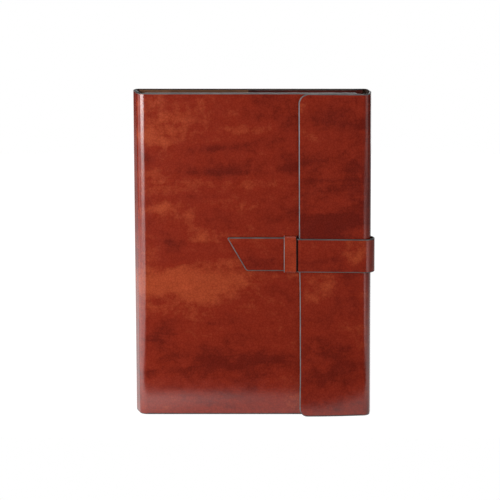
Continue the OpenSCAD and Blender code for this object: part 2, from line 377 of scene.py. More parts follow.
    @property
    def bend_centre(self) -> Vector:
        """Centre of the strap's front bend."""
        return self.strap_start - left_of(self.flap_dir) * self.strap_r

    @property
    def keeper_x(self) -> Span:
        """Ends of the keeper along X."""
        high = self.flap_tip.x - self.keeper_off
        return high - self.keeper_w, high

    @property
    def shift(self) -> Vector:
        """Offset from plan to the row frame, whose origin is under the middle of the outline.

        Returns:
            The offset in plan.
        """
        x_low = self.back_x[0] - self.fold_r
        x_high = self.bend_centre.x + self.strap_r + self.strap_t
        y_low = self.bend_centre.y - self.strap_r - self.strap_t
        return Vector((x_low + x_high, y_low + self.cover_d + self.strap_t)) / -2

    def spine_side(self, origin: Vector, along: Vector) -> PanelFrame:
        """Return the frame of a panel whose inside lies to the left of its direction."""
        return PanelFrame(origin, along, left_of(along), self.shift)

    def edge_side(self, origin: Vector, along: Vector) -> PanelFrame:
        """Return the frame of a panel whose inside lies to the right of its direction."""
        return PanelFrame(origin, along, -left_of(along), self.shift)

    def flat(self) -> PanelFrame:
        """Return the frame of the plan itself, with the front cover's outside face at Y 0."""
        return PanelFrame(Vector((0.0, 0.0)), Vector((1.0, 0.0)), Vector((0.0, 1.0)), self.shift)

    def back(self) -> PanelFrame:
        """Return the frame of the back cover."""
        return PanelFrame(self.back_spine, Vector((1.0, 0.0)), Vector((0.0, -1.0)), self.shift)


PLAN = Plan()


class NodeBench:
    """Adds and joins the shader nodes of one material."""

    def __init__(self, tree: bpy.types.NodeTree) -> None:
        """Start on an empty node tree."""
        self.tree = tree
        tree.nodes.clear()

    def node(self, kind: str, **settings: object) -> bpy.types.Node:
        """Add a node and set its properties.

        Args:
            kind: Type of the node.
            **settings: Properties by name.

        Returns:
            The node.
        """
        made = self.tree.nodes.new(kind)
        for name, value in settings.items():
            setattr(made, name, value)
        return made

    def feed(self, socket: Socket, value: object) -> None:
        """Link a socket into an input, or write a constant to it.

        Args:
            socket: Input of a node.
            value: Output of another node, or a constant.
        """
        if isinstance(value, Socket):
            self.tree.links.new(value, socket)
        elif isinstance(value, tuple) and len(value) == 3 and len(socket.default_value) == 4:
            socket.default_value = (*value, 1.0)
        else:
            socket.default_value = value

    def maths(self, operation: str, *values: object, clamp: bool = False) -> Socket:
        """Return the result of a Math node.

        Args:
            operation: What the node works out.
            *values: Its inputs in order, linked or constant.
            clamp: Whether the result is held between 0 and 1.

        Returns:
            The result.
        """
        made = self.node("ShaderNodeMath", operation=operation, use_clamp=clamp)
        for socket, value in zip(made.inputs, values):
            self.feed(socket, value)
        return made.outputs[0]

    def add_share(self, base: object, value: Socket, share: object) -> Socket:
        """Return a base with a share of a value added to it."""
        return self.maths("MULTIPLY_ADD", value, share, base)

    def place(self, source: str = "Object") -> Socket:
        """Return the coordinates that patterns are drawn in."""
        return self.node("ShaderNodeTexCoord").outputs[source]

    def scaled(self, vector: Socket, scale: Triple, offset: Triple) -> Socket:
        """Return coordinates moved and scaled by a Mapping node.

        Args:
            vector: Coordinates.
            scale: Scale along each axis.
            offset: Move along each axis, after the scale.

        Returns:
            The new coordinates.
        """
        made = self.node("ShaderNodeMapping")
        self.feed(made.inputs["Vector"], vector)
        made.inputs["Scale"].default_value = scale
        made.inputs["Location"].default_value = offset
        return made.outputs[0]

    def noise(self, place: Socket, scale: Union[float, Triple], detail: float = 4.0, rough: float = 0.55,
              bend: float = 0.0, offset: Triple = (0.0, 0.0, 0.0)) -> Socket:
        """Return the value of a noise texture.

        Args:
            place: Coordinates of the piece.
            scale: Cells to a metre, or three of them where the pattern is drawn out.
            detail: Number of finer layers.
            rough: Share of each finer layer.
            bend: Distortion of the pattern.
            offset: Start of a drawn-out pattern.

        Returns:
            The value, from 0 to 1.
        """
        vector, cells = place, scale
        if isinstance(scale, tuple):
            vector, cells = self.scaled(place, scale, offset), 1.0
        made = self.node("ShaderNodeTexNoise")
        self.feed(made.inputs["Vector"], vector)
        for name, value in (("Scale", cells), ("Detail", detail), ("Roughness", rough), ("Distortion", bend)):
            made.inputs[name].default_value = value
        return made.outputs["Fac"]

    def wave(self, place: Socket, direction: str, scale: float, bend: float = 0.0) -> Socket:
        """Return the value of a wave texture.

        Args:
            place: Coordinates of the piece.
            direction: Axis along which the bands lie one behind the other.
            scale: Scale of the bands.
            bend: Distortion of the bands.

        Returns:
            The value, from 0 to 1.
        """
        made = self.node("ShaderNodeTexWave", bands_direction=direction)
        self.feed(made.inputs["Vector"], place)
        made.inputs["Scale"].default_value = scale
        made.inputs["Distortion"].default_value = bend
        return made.outputs["Fac"]

    def rise(self, value: Socket, reach: Span, ends: Span) -> Socket:
        """Return a smooth rise from one end to the other while a value passes over a reach.

        Args:
            value: Value that passes over the reach.
            reach: Where the rise starts and ends.
            ends: Results before and after it.

        Returns:
            The result.
        """
        made = self.node("ShaderNodeMapRange", interpolation_type="SMOOTHSTEP")
        self.feed(made.inputs["Value"], value)
        for name, number in zip(("From Min", "From Max", "To Min", "To Max"), (*reach, *ends)):
            made.inputs[name].default_value = number
        return made.outputs[0]

    def rays(self) -> Tuple[Socket, Socket]:
        """Return whether a ray comes from the camera, and whether from a reflection or through glass.

        Returns:
            Both answers, each 0 or 1.
        """
        path = self.node("ShaderNodeLightPath")
        mirrored = self.maths("MAXIMUM", path.outputs["Is Glossy Ray"], path.outputs["Is Transmission Ray"])
        return path.outputs["Is Camera Ray"], mirrored

    def ramp(self, value: Socket, *stops: Tuple[float, Colour]) -> Socket:
        """Return the colour that a value has on a row of stops.

        Args:
            value: Place on the row of stops.
            *stops: Positions and their colours, from low to high.

        Returns:
            The colour.
        """
        made = self.node("ShaderNodeValToRGB")
        self.feed(made.inputs[0], value)
        band = made.color_ramp
        band.interpolation = "EASE"
        while len(band.elements) < len(stops):
            band.elements.new(1.0)
        for element, (position, colour) in zip(band.elements, stops):
            element.position = position
            element.color = (*colour, 1.0)
        return made.outputs[0]

    def mix(self, factor: object, a: object, b: object, how: str = "MIX") -> Socket:
        """Return two colours mixed.

        Args:
            factor: Share of the second colour.
            a: First colour.
            b: Second colour.
            how: Way of mixing.

        Returns:
            The mixed colour.
        """
        made = self.node("ShaderNodeMix", data_type="RGBA", blend_type=how)
        for socket, value in ((0, factor), (6, a), (7, b)):
            self.feed(made.inputs[socket], value)
        return made.outputs[2]

    def bump(self, height: Socket, depth: float, strength: float) -> Socket:
        """Return a normal bent by a height, whose full range is a depth in metres.

        Args:
            height: Height of the surface, from 0 to 1.
            depth: Depth of its full range, in metres.
            strength: Strength of the bump.

        Returns:
            The bent normal.
        """
        made = self.node("ShaderNodeBump")
        made.inputs["Strength"].default_value = strength
        made.inputs["Distance"].default_value = depth
        self.feed(made.inputs["Height"], height)
        return made.outputs[0]

    def surface(self, colour: object, roughness: object, normal: Socket, **constants: float) -> None:
        """End the tree in a Principled shader.

        Args:
            colour: Base colour, linked or constant.
            roughness: Roughness, linked or constant.
            normal: Bent normal.
            **constants: Further sockets by name, with _ for a space.
        """
        shader = self.node("ShaderNodeBsdfPrincipled")
        self.feed(shader.inputs["Base Color"], colour)
        self.feed(shader.inputs["Roughness"], roughness)
        self.feed(shader.inputs["Normal"], normal)
        for name, value in constants.items():
            self.feed(shader.inputs[name.replace("_", " ")], value)
        self.end("ShaderNodeOutputMaterial", shader)

    def end(self, kind: str, shader: bpy.types.Node) -> None:
        """Lead a shader to the tree's output."""
        self.feed(self.node(kind).inputs["Surface"], shader.outputs[0])


class Finish:
    """A finish that makes its material once."""

    name: str

    def material(self) -> bpy.types.Material:
        """Return the material, made on its first use.

        Returns:
            The material.
        """
        found = bpy.data.materials.get(self.name)
        if found is None:
            found = bpy.data.materials.new(self.name)
            found.use_nodes = True
            self.draw(NodeBench(found.node_tree))
        return found

    def draw(self, bench: NodeBench) -> None:
        """Draw the material's nodes."""
        raise NotImplementedError


@dataclass(frozen=True)
class Smear:
    """A soft lengthwise patch where the polish was rubbed darker or lighter, in the row frame in metres."""

    x: float
    z: float
    half_w: float
    half_h: float
    tone: float


@dataclass(frozen=True)
class BurnishedLeather(Finish):
    """Hand-polished leather: smeary tones along the grain, fine wrinkles and pores, and a low gloss."""

    name: str
    dark: Colour
    mid: Colour
    light: Colour
    offset: Triple = (0.0, 0.0, 0.0)
    tone: float = 0.0
    smears: Tuple[Smear, ...] = ()
    worn: float = 1.28
    stops: Tuple[float, ...] = (0.37, 0.50, 0.63, 0.80)
    long_scale: Triple = (5.0, 14.0, 24.0)
    short_scale: Triple = (27.0, 30.0, 33.0)
    cloud_scale: Triple = (88.0, 88.0, 92.0)
    fleck_scale: float = 420.0
    shares: Tuple[float, ...] = (0.42, 0.31, 0.20, 0.07)
    ragged_scale: Triple = (22.0, 30.0, 60.0)
    wrinkle_scale: float = 330.0
    wrinkle_depth: float = 0.00008
    crease: Colour = (0.80, 0.76, 0.74)
    warp_scale: float = 160.0
    warp: float = 0.006
    pore_scale: float = 1500.0
    roughness: float = 0.18
    rough_swing: float = 0.14
    gloss_ior: float = 1.55

    def draw(self, bench: NodeBench) -> None:
        """Draw the leather's nodes.

        Args:
            bench: Bench of the material.
        """
        place = bench.place()
        cloud = bench.noise(place, self.cloud_scale, 4.0, 0.6, 0.3, self.offset)
        layers = (bench.noise(place, self.long_scale, 5.0, 0.6, 0.5, self.offset),
                  bench.noise(place, self.short_scale, 5.0, 0.62, 0.4, self.offset),
                  cloud, bench.noise(place, self.fleck_scale, 3.0, 0.6))
        tone = self.tone
        for layer, share in zip(layers, self.shares):
            tone = bench.add_share(tone, layer, share)
        tone = self._rubbed(bench, place, tone)
        tones = (self.dark, self.mid, self.light, toned(self.light, self.worn))
        colour = bench.ramp(tone, *zip(self.stops, tones))
        wrinkle, pore = self._grain(bench, place)
        colour = bench.mix(1.0, colour, bench.ramp(wrinkle, (0.0, self.crease), (0.35, WHITE)), "MULTIPLY")
        height = bench.add_share(bench.maths("MULTIPLY", pore, 0.35), wrinkle, 0.75)
        rough = bench.add_share(self.roughness - self.rough_swing / 2, cloud, self.rough_swing)
        bench.surface(colour, rough, bench.bump(height, self.wrinkle_depth, 0.5), IOR=self.gloss_ior)

    def _rubbed(self, bench: NodeBench, place: Socket, tone: Socket) -> Socket:
        """Return the tone with the rubbed smears added.

        Args:
            bench: Bench of the material.
            place: Coordinates of the piece.
            tone: Tone before rubbing.

        Returns:
            The tone with each smear's share added.
        """
        if not self.smears:
            return tone
        ragged = bench.noise(place, self.ragged_scale, 4.0, 0.6, 0.4)
        for smear in self.smears:
            scale = (1 / smear.half_w, 0.0, 1 / smear.half_h)
            moved = bench.scaled(place, scale, (-smear.x * scale[0], 0.0, -smear.z * scale[2]))
            ball = bench.node("ShaderNodeTexGradient", gradient_type="QUADRATIC_SPHERE")
            bench.feed(ball.inputs[0], moved)
            broken = bench.maths("MULTIPLY", ragged, 2.0 * smear.tone)
            tone = bench.add_share(tone, ball.outputs["Fac"], broken)
        return tone

    def _grain(self, bench: NodeBench, place: Socket) -> Tuple[Socket, Socket]:
        """Return the wrinkle grain, 0 in its creases, and the finer pores.

        Args:
            bench: Bench of the material.
            place: Coordinates of the piece.

        Returns:
            Both values, from 0 to 1.
        """
        warp = bench.node("ShaderNodeTexNoise")
        bench.feed(warp.inputs["Vector"], place)
        warp.inputs["Scale"].default_value = self.warp_scale
        warp.inputs["Detail"].default_value = 3.0
        push = bench.node("ShaderNodeVectorMath", operation="MULTIPLY_ADD")
        for socket, value in zip(push.inputs, (warp.outputs["Color"], (self.warp,) * 3, place)):
            bench.feed(socket, value)
        cells = bench.node("ShaderNodeTexVoronoi", feature="DISTANCE_TO_EDGE")
        bench.feed(cells.inputs["Vector"], push.outputs[0])
        cells.inputs["Scale"].default_value = self.wrinkle_scale
        wrinkle = bench.maths("MULTIPLY", cells.outputs["Distance"], 2.2, clamp=True)
        return wrinkle, bench.noise(place, self.pore_scale, 2.0, 0.5)


@dataclass(frozen=True)
class EdgePaint(Finish):
    """Acrylic paint on a cut leather edge: satin, with faint ridges along the layers."""

    name: str
    colour: Colour
    roughness: float = 0.42
    rough_swing: float = 0.2
    gloss: float = 0.5
    ridge_scale: Triple = (300.0, 2200.0, 300.0)
    ridge_depth: float = 0.00006

    def draw(self, bench: NodeBench) -> None:
        """Draw the paint's nodes.

        Args:
            bench: Bench of the material.
        """
        place = bench.place()
        patch = bench.noise(place, 90.0, 3.0)
        colour = bench.ramp(patch, (0.35, toned(self.colour, 0.82)), (0.65, toned(self.colour, 1.22)))
        ridge = bench.noise(place, self.ridge_scale, 2.0)
        rough = bench.add_share(self.roughness - self.rough_swing / 2, patch, self.rough_swing)
        bench.surface(colour, rough, bench.bump(ridge, self.ridge_depth, 0.4), Specular_IOR_Level=self.gloss)


@dataclass(frozen=True)
class NappedLining(Finish):
    """Brushed lining with a short nap that lies in patches."""

    name: str
    dark: Colour
    light: Colour
    brush_scale: Triple = (16.0, 16.0, 26.0)
    nap_scale: float = 1700.0
    nap_share: float = 0.45
    nap_depth: float = 0.0002

    def draw(self, bench: NodeBench) -> None:
        """Draw the lining's nodes.

        Args:
            bench: Bench of the material.
        """
        place = bench.place()
        brushed = bench.noise(place, self.brush_scale, 4.0, 0.6, 0.6)
        nap = bench.noise(place, self.nap_scale, 3.0, 0.7)
        tone = bench.add_share(bench.maths("MULTIPLY", brushed, 1.0 - self.nap_share), nap, self.nap_share)
        colour = bench.ramp(tone, (0.36, self.dark), (0.64, self.light))
        bench.surface(colour, 0.92, bench.bump(nap, self.nap_depth, 0.6), Specular_IOR_Level=0.15,
                      Sheen_Weight=0.25)


@dataclass(frozen=True)
class GreyBoard(Finish):
    """Recycled board with fibres and specks."""

    name: str
    colour: Colour
    speck: Colour = (0.55, 0.52, 0.5)
    fibre_scale: Triple = (240.0, 900.0, 900.0)
    speck_scale: float = 800.0
    fibre_depth: float = 0.00012

    def draw(self, bench: NodeBench) -> None:
        """Draw the board's nodes.

        Args:
            bench: Bench of the material.
        """
        place = bench.place()
        fibre = bench.noise(place, self.fibre_scale, 4.0, 0.65, 0.4)
        colour = bench.ramp(fibre, (0.3, toned(self.colour, 0.72)), (0.62, self.colour))
        specks = bench.ramp(bench.noise(place, self.speck_scale, 2.0), (0.26, self.speck), (0.34, WHITE))
        bench.surface(bench.mix(1.0, colour, specks, "MULTIPLY"), 0.88,
                      bench.bump(fibre, self.fibre_depth, 0.5), Specular_IOR_Level=0.2)


@dataclass(frozen=True)
class RuledPaper(Finish):
    """Writing paper with feint rules across the sheet and a margin line, placed in metres."""

    name: str
    paper: Colour
    rule: Colour
    margin: Colour
    pitch: float
    foot_z: float
    head_z: float
    margin_x: float
    line_w: float = 0.0003
    fibre_scale: float = 900.0
    fibre_depth: float = 0.00004

    def draw(self, bench: NodeBench) -> None:
        """Draw the paper's nodes.

        Args:
            bench: Bench of the material.
        """
        place = bench.place()
        fibre = bench.noise(place, self.fibre_scale, 4.0, 0.6)
        colour = bench.ramp(fibre, (0.35, toned(self.paper, 0.95)), (0.65, self.paper))
        axes = bench.node("ShaderNodeSeparateXYZ")
        bench.feed(axes.inputs[0], place)
        x, z = axes.outputs[0], axes.outputs[2]
        steps = bench.maths("DIVIDE", bench.maths("SUBTRACT", z, self.foot_z), self.pitch)
        on_rule = bench.maths("LESS_THAN", bench.maths("FRACT", steps), self.line_w / self.pitch)
        inside = bench.maths("MULTIPLY", bench.maths("GREATER_THAN", z, self.foot_z),
                             bench.maths("LESS_THAN", z, self.head_z))
        colour = bench.mix(bench.maths("MULTIPLY", on_rule, inside), colour, self.rule)
        off = bench.maths("ABSOLUTE", bench.maths("SUBTRACT", x, self.margin_x))
        colour = bench.mix(bench.maths("LESS_THAN", off, self.line_w), colour, self.margin)
        bench.surface(colour, 0.8, bench.bump(fibre, self.fibre_depth, 0.3), Specular_IOR_Level=0.25)


@dataclass(frozen=True)
class WovenTape(Finish):
    """Binding cloth: a fine plain weave under a dull coating."""

    name: str
    colour: Colour
    thread_scale: float = 420.0
    weave_depth: float = 0.00008

    def draw(self, bench: NodeBench) -> None:
        """Draw the tape's nodes.

        Args:
            bench: Bench of the material.
        """
        place = bench.place()
        weave = bench.maths("MULTIPLY", *(bench.wave(place, axis, self.thread_scale, 0.4) for axis in "XZ"))
        colour = bench.ramp(weave, (0.1, toned(self.colour, 0.6)), (0.7, self.colour))
        bench.surface(colour, 0.7, bench.bump(weave, self.weave_depth, 0.5), Specular_IOR_Level=0.3)


@dataclass(frozen=True)
class SewingThread(Finish):
    """Waxed thread with a twist."""

    name: str
    colour: Colour
    twist_scale: float = 700.0
    twist_depth: float = 0.00006

    def draw(self, bench: NodeBench) -> None:
        """Draw the thread's nodes.

        Args:
            bench: Bench of the material.
        """
        twist = bench.wave(bench.place(), "DIAGONAL", self.twist_scale)
        colour = bench.ramp(twist, (0.1, toned(self.colour, 0.55)), (0.8, self.colour))
        bench.surface(colour, 0.55, bench.bump(twist, self.twist_depth, 0.5))


@dataclass(frozen=True)
class PaintedGlowPool:
    """A painted pool of glow on one side of the ground, or of painted shade where its gain is below 0, in
    metres.

    It lies towards a direction, starts and is full at two distances from the middle, and adds its gain, as a
    share, to the glow that reflections see; no lamp lights it.
    """

    towards: Triple
    reach: Span
    gain: float

    def draw(self, bench: NodeBench, place: Socket) -> Socket:
        """Return the share of painted glow that reflections see there.

        Args:
            bench: Bench of the material.
            place: Coordinates of the ground.

        Returns:
            The share, 1 where the pool adds nothing.
        """
        along = bench.node("ShaderNodeVectorMath", operation="DOT_PRODUCT")
        bench.feed(along.inputs[0], place)
        along.inputs[1].default_value = self.towards
        return bench.maths("ADD", bench.rise(along.outputs["Value"], self.reach, (0.0, self.gain)), 1.0)


@dataclass(frozen=True)
class PaleGround(Finish):
    """White paper ground that glows: evenly white to the camera, where it keeps the object's shadow, and with
    pools of painted light and shade to reflections.
    """

    name: str
    colour: Colour
    bright: float
    mirrored: float
    shown_share: float
    mirrored_share: float
    pools: Tuple[PaintedGlowPool, ...]

    def draw(self, bench: NodeBench) -> None:
        """Draw the ground's nodes.

        Args:
            bench: Bench of the material.
        """
        place = bench.place()
        paper = bench.node("ShaderNodeBsdfDiffuse")
        grain = bench.noise(place, 60.0, 3.0)
        colour = bench.ramp(grain, (0.4, toned(self.colour, 0.985)), (0.6, self.colour))
        bench.feed(paper.inputs["Color"], colour)
        seen, mirror = bench.rays()
        share = bench.maths("MAXIMUM", bench.maths("MULTIPLY", seen, self.shown_share),
                            bench.maths("MULTIPLY", mirror, self.mirrored_share))
        reflected = self.mirrored
        for pool in self.pools:
            reflected = bench.maths("MULTIPLY", pool.draw(bench, place), reflected)
        glow = bench.node("ShaderNodeEmission")
        # Painted glow: reflections see the ground glow at the pooled level, the camera at the bright level.
        level = bench.add_share(self.bright, mirror, bench.maths("SUBTRACT", reflected, self.bright))
        bench.feed(glow.inputs["Strength"], level)
        both = bench.node("ShaderNodeMixShader")
        for socket, value in zip(both.inputs, (share, paper.outputs[0], glow.outputs[0])):
            bench.feed(socket, value)
        bench.end("ShaderNodeOutputMaterial", both)


COVER_SMEARS = (
    Smear(-0.041, 0.283, 0.065, 0.011, -0.13),
    Smear(-0.036, 0.259, 0.075, 0.012, -0.13),
    Smear(-0.045, 0.233, 0.065, 0.012, -0.13),
    Smear(0.035, 0.262, 0.040, 0.018, -0.12),
    Smear(-0.002, 0.302, 0.060, 0.014, 0.07),
    Smear(-0.092, 0.220, 0.050, 0.014, 0.09),
    Smear(-0.002, 0.222, 0.055, 0.012, 0.05),
    Smear(-0.090, 0.186, 0.050, 0.016, -0.10),
    Smear(-0.090, 0.139, 0.135, 0.057, 0.20),
    Smear(-0.045, 0.097, 0.110, 0.014, -0.065),
    Smear(-0.040, 0.062, 0.250, 0.060, -0.085),
    Smear(-0.105, 0.080, 0.060, 0.045, -0.07),
    Smear(-0.095, 0.300, 0.075, 0.048, 0.06),
)
FLAP_SMEARS = (
    Smear(0.085, 0.245, 0.055, 0.030, -0.05),
    Smear(0.075, 0.198, 0.070, 0.034, -0.26),
    Smear(0.075, 0.138, 0.050, 0.030, 0.14),
    Smear(0.085, 0.055, 0.110, 0.075, -0.075),
)
TONES = ((0.138, 0.0115, 0.0058), (0.228, 0.0200, 0.0080), (0.345, 0.0530, 0.0178))
COVER_LEATHER = BurnishedLeather("burnished_cover_leather", *TONES, smears=COVER_SMEARS)
FLAP_LEATHER = BurnishedLeather("burnished_flap_leather", *TONES, offset=(3.1, 1.7, 5.2), tone=-0.015,
                                smears=FLAP_SMEARS)
STRAP_LEATHER = BurnishedLeather("burnished_strap_leather", *TONES, offset=(7.4, 2.3, 1.9),
                                 smears=(Smear(0.102, 0.168, 0.022, 0.022, 0.11),))
CREASED_LEATHER = BurnishedLeather("creased_strap_leather", *TONES, offset=(7.4, 2.3, 1.9), roughness=0.6,
                                   gloss_ior=1.12)
# Nearly black leather: painted shade on the strap's step where it dips into the keeper's shadow.
DEEP_CREASE = BurnishedLeather("strap_step_painted_shade", (0.010, 0.0030, 0.0022), (0.018, 0.0050, 0.0034),
                               (0.030, 0.0080, 0.0050), offset=(7.4, 2.3, 1.9), roughness=0.6, gloss_ior=1.08)
KEEPER_LEATHER = BurnishedLeather("polished_keeper_leather", (0.24, 0.026, 0.0105), (0.33, 0.041, 0.015),
                                  (0.42, 0.066, 0.023), offset=(1.3, 6.1, 4.4))
POCKET_LEATHER = BurnishedLeather("dark_pocket_leather", (0.075, 0.009, 0.006), (0.13, 0.016, 0.010),
                                  (0.18, 0.026, 0.014), offset=(5.5, 3.9, 2.2), roughness=0.4)
GREY_EDGE = EdgePaint("grey_edge_paint", (0.105, 0.105, 0.105))
STRAP_EDGE = EdgePaint("strap_edge_paint", (0.075, 0.077, 0.075))
# Near-black edge paint: on the pockets it is their own dark edge paint; on every other rim it is painted
# shade, where rims face down, inwards or away from the light.
DARK_EDGE_AND_SHADE = EdgePaint("dark_edge_paint_and_painted_shade", (0.011, 0.009, 0.009), gloss=0.2)
LINING = NappedLining("brown_napped_lining", (0.17, 0.075, 0.040), (0.33, 0.150, 0.080))
# Near-black lining: painted shade inside the spine, the folds and the fore-edge wall, which lie in shadow.
PAINTED_SHADE_LINING = NappedLining("napped_lining_painted_shade", (0.035, 0.015, 0.009), (0.070, 0.030, 0.018))
BOARD = GreyBoard("grey_board", (0.30, 0.26, 0.21))
TAPE = WovenTape("dark_binding_tape", (0.035, 0.030, 0.028))
THREAD = SewingThread("waxed_brown_thread", (0.16, 0.05, 0.030))


def round_corners(bm: Mesh, verts: List[Vert], radius: float, parts: int = RIM_PARTS) -> None:
    """Round corners of a flat face.

    Args:
        bm: Mesh that holds the face.
        verts: Corners to round.
        radius: Radius of the corners.
        parts: Number of segments of each corner.
    """
    if verts and radius > 0:
        bmesh.ops.bevel(bm, geom=verts, offset=radius, offset_type="OFFSET", segments=parts, profile=0.5,
                        affect="VERTICES", material=-1)


def with_bounds(faces: Sequence[Face]) -> List[object]:
    """Return the corners and edges of faces, and the faces.

    Args:
        faces: Faces of a mesh.

    Returns:
        Corners, edges and faces, each once.
    """
    verts = dict.fromkeys(v for f in faces for v in f.verts)
    edges = dict.fromkeys(e for f in faces for e in f.edges)
    return [*verts, *edges, *faces]


def cut_along(bm: Mesh, point: Triple, normal: Triple, faces: Optional[Sequence[Face]] = None) -> None:
    """Cut a mesh, or only some of its faces, along a plane."""
    geom = bm.verts[:] + bm.edges[:] + bm.faces[:] if faces is None else with_bounds(faces)
    bmesh.ops.bisect_plane(bm, geom=geom, dist=NEAR_ENOUGH, plane_co=point, plane_no=normal)


def pull(bm: Mesh, faces: List[Face], by: Triple) -> List[Face]:
    """Extrude faces straight on and return their new place.

    Args:
        bm: Mesh that holds the faces.
        faces: Faces to extrude.
        by: Way that they go.

    Returns:
        The faces at their new place.
    """
    grown = bmesh.ops.extrude_face_region(bm, geom=faces)["geom"]
    bmesh.ops.translate(bm, verts=[g for g in grown if isinstance(g, Vert)], vec=by)
    return [g for g in grown if isinstance(g, Face)]


def deform(bm: Mesh, move: Deform) -> None:
    """Move every vertex by a function of its place."""
    for vert in bm.verts:
        vert.co = move(vert.co)


@dataclass(frozen=True)
class Sheet:
    """A flat sheet in a panel's frame, in millimetres, with rounded rims along its free edges."""

    x: Span
    y: Span
    z: Span
    free: FrozenSet[Side] = ALL_ROUND
    corner_r: float = 0.0
    near_corner_r: float = 0.0
    foot_corner_r: Optional[float] = None
    rim_out: float = 0.0
    rim_in: float = 0.0
    pitch: float = 0.0
    cuts_x: Tuple[float, ...] = ()
    slant: float = 0.0
    painted: float = 0.0
    # shaded_foot and shaded_top paint rims near-black as shade: the rims and border along the foot, and the
    # rims that face up.
    shaded_foot: bool = False
    shaded_top: bool = False

    def build(self) -> Mesh:
        """Return the sheet as a closed mesh whose faces have their zone as material index.

        Returns:
            The mesh in millimetres.
        """
        bm = bmesh.new()
        (x0, x1), (z0, z1) = self.x, self.z
        outline = ((x0, z0), (x1 - self.slant, z0), (x1, z1), (x0, z1))
        near_foot, far_foot, far_head, near_head = (bm.verts.new((x, self.y[0], z)) for x, z in outline)
        bm.faces.new((near_foot, far_foot, far_head, near_head))
        foot_r = self.corner_r if self.foot_corner_r is None else self.foot_corner_r
        round_corners(bm, [far_foot], foot_r, CORNER_PARTS)
        round_corners(bm, [far_head], self.corner_r, CORNER_PARTS)
        round_corners(bm, [near_foot, near_head], self.near_corner_r, CORNER_PARTS)
        self._cut(bm)
        pull(bm, bm.faces[:], (0.0, self.y[1] - self.y[0], 0.0))
        bmesh.ops.recalc_face_normals(bm, faces=bm.faces[:])
        self._round_rim(bm, self.y[0], self.rim_out)
        self._round_rim(bm, self.y[1], self.rim_in)
        bm.normal_update()
        for face in bm.faces:
            face.material_index = self._zone(face.normal).value
        self._brace(bm, Zone.FACE, self.rim_out)
        self._brace(bm, Zone.INSIDE, self.rim_in)
        return bm

    def _zone(self, normal: Vector) -> Zone:
        """Return the zone of a face by its normal.

        Args:
            normal: Normal of the face.

        Returns:
            The zone.
        """
        if abs(normal.y) > FLAT:
            return Zone.FACE if normal.y < 0 else Zone.INSIDE
        # Painted shade: rims that face down on a shaded foot, or up on a shaded top, take the near-black
        # finish.
        shaded = (self.shaded_foot and normal.z < UNDERSIDE) or (self.shaded_top and normal.z > TOPSIDE)
        return Zone.SHADE if shaded else Zone.RIM

    def _brace(self, bm: Mesh, zone: Zone, radius: float) -> None:
        """Set a narrow border inside a rounded rim, so that the face's shading stays flat up to it.

        Args:
            bm: Mesh to work on.
            zone: Zone whose faces get the border.
            radius: Radius of the rim beside it.
        """
        if radius <= 0:
            return
        faces = [f for f in bm.faces if f.material_index == zone.value]
        width = self.painted or BORDER
        border = bmesh.ops.inset_region(bm, faces=faces, thickness=width, depth=0.0, use_boundary=True,
                                        use_even_offset=True)["faces"]
        for face in border:
            at = face.calc_center_median()
            # Painted shade: the border along a shaded foot is near-black too.
            if self.shaded_foot and at.z < self.z[0] + radius + width:
                face.material_index = Zone.SHADE.value
            elif self.painted and not any(abs(at[axis] - end) < width for axis, end in self._closed()):
                face.material_index = Zone.RIM.value

    def _closed(self) -> List[Tuple[int, float]]:
        """Return axis and place of each edge that isn't free.

        Returns:
            Pairs of axis and place.
        """
        held = {Side.NEAR: (0, self.x[0]), Side.FAR: (0, self.x[1]), Side.FOOT: (2, self.z[0]),
                Side.HEAD: (2, self.z[1])}
        return [held[side] for side in Side if side not in self.free]

    def _cut(self, bm: Mesh) -> None:
        """Cut the outline's face along X and Z so that the sheet can bend.

        Args:
            bm: Mesh of the outline's face.
        """
        for x in self.cuts_x:
            cut_along(bm, (x, 0.0, 0.0), (1.0, 0.0, 0.0))
        if self.pitch > 0:
            for normal, (low, high) in (((1.0, 0.0, 0.0), self.x), ((0.0, 0.0, 1.0), self.z)):
                count = max(1, round((high - low) / self.pitch))
                for i in range(1, count):
                    at = low + (high - low) * i / count
                    cut_along(bm, tuple(at * n for n in normal), normal)

    def _round_rim(self, bm: Mesh, level: float, radius: float) -> None:
        """Round the free edges of the face at one level.

        Args:
            bm: Mesh to work on.
            level: Y of the face.
            radius: Radius of the rim.
        """
        if radius <= 0:
            return
        closed = self._closed()
        rim = []
        for edge in bm.edges:
            at_level = all(abs(v.co.y - level) < NEAR_ENOUGH for v in edge.verts)
            within = all(abs(f.normal.y) > LEVEL for f in edge.link_faces)
            held = any(all(abs(v.co[axis] - at) < NEAR_ENOUGH for v in edge.verts) for axis, at in closed)
            if at_level and not within and not held:
                rim.append(edge)
        bmesh.ops.bevel(bm, geom=rim, offset=radius, offset_type="OFFSET", segments=RIM_PARTS, profile=0.5,
                        affect="EDGES", material=-1, clamp_overlap=False)


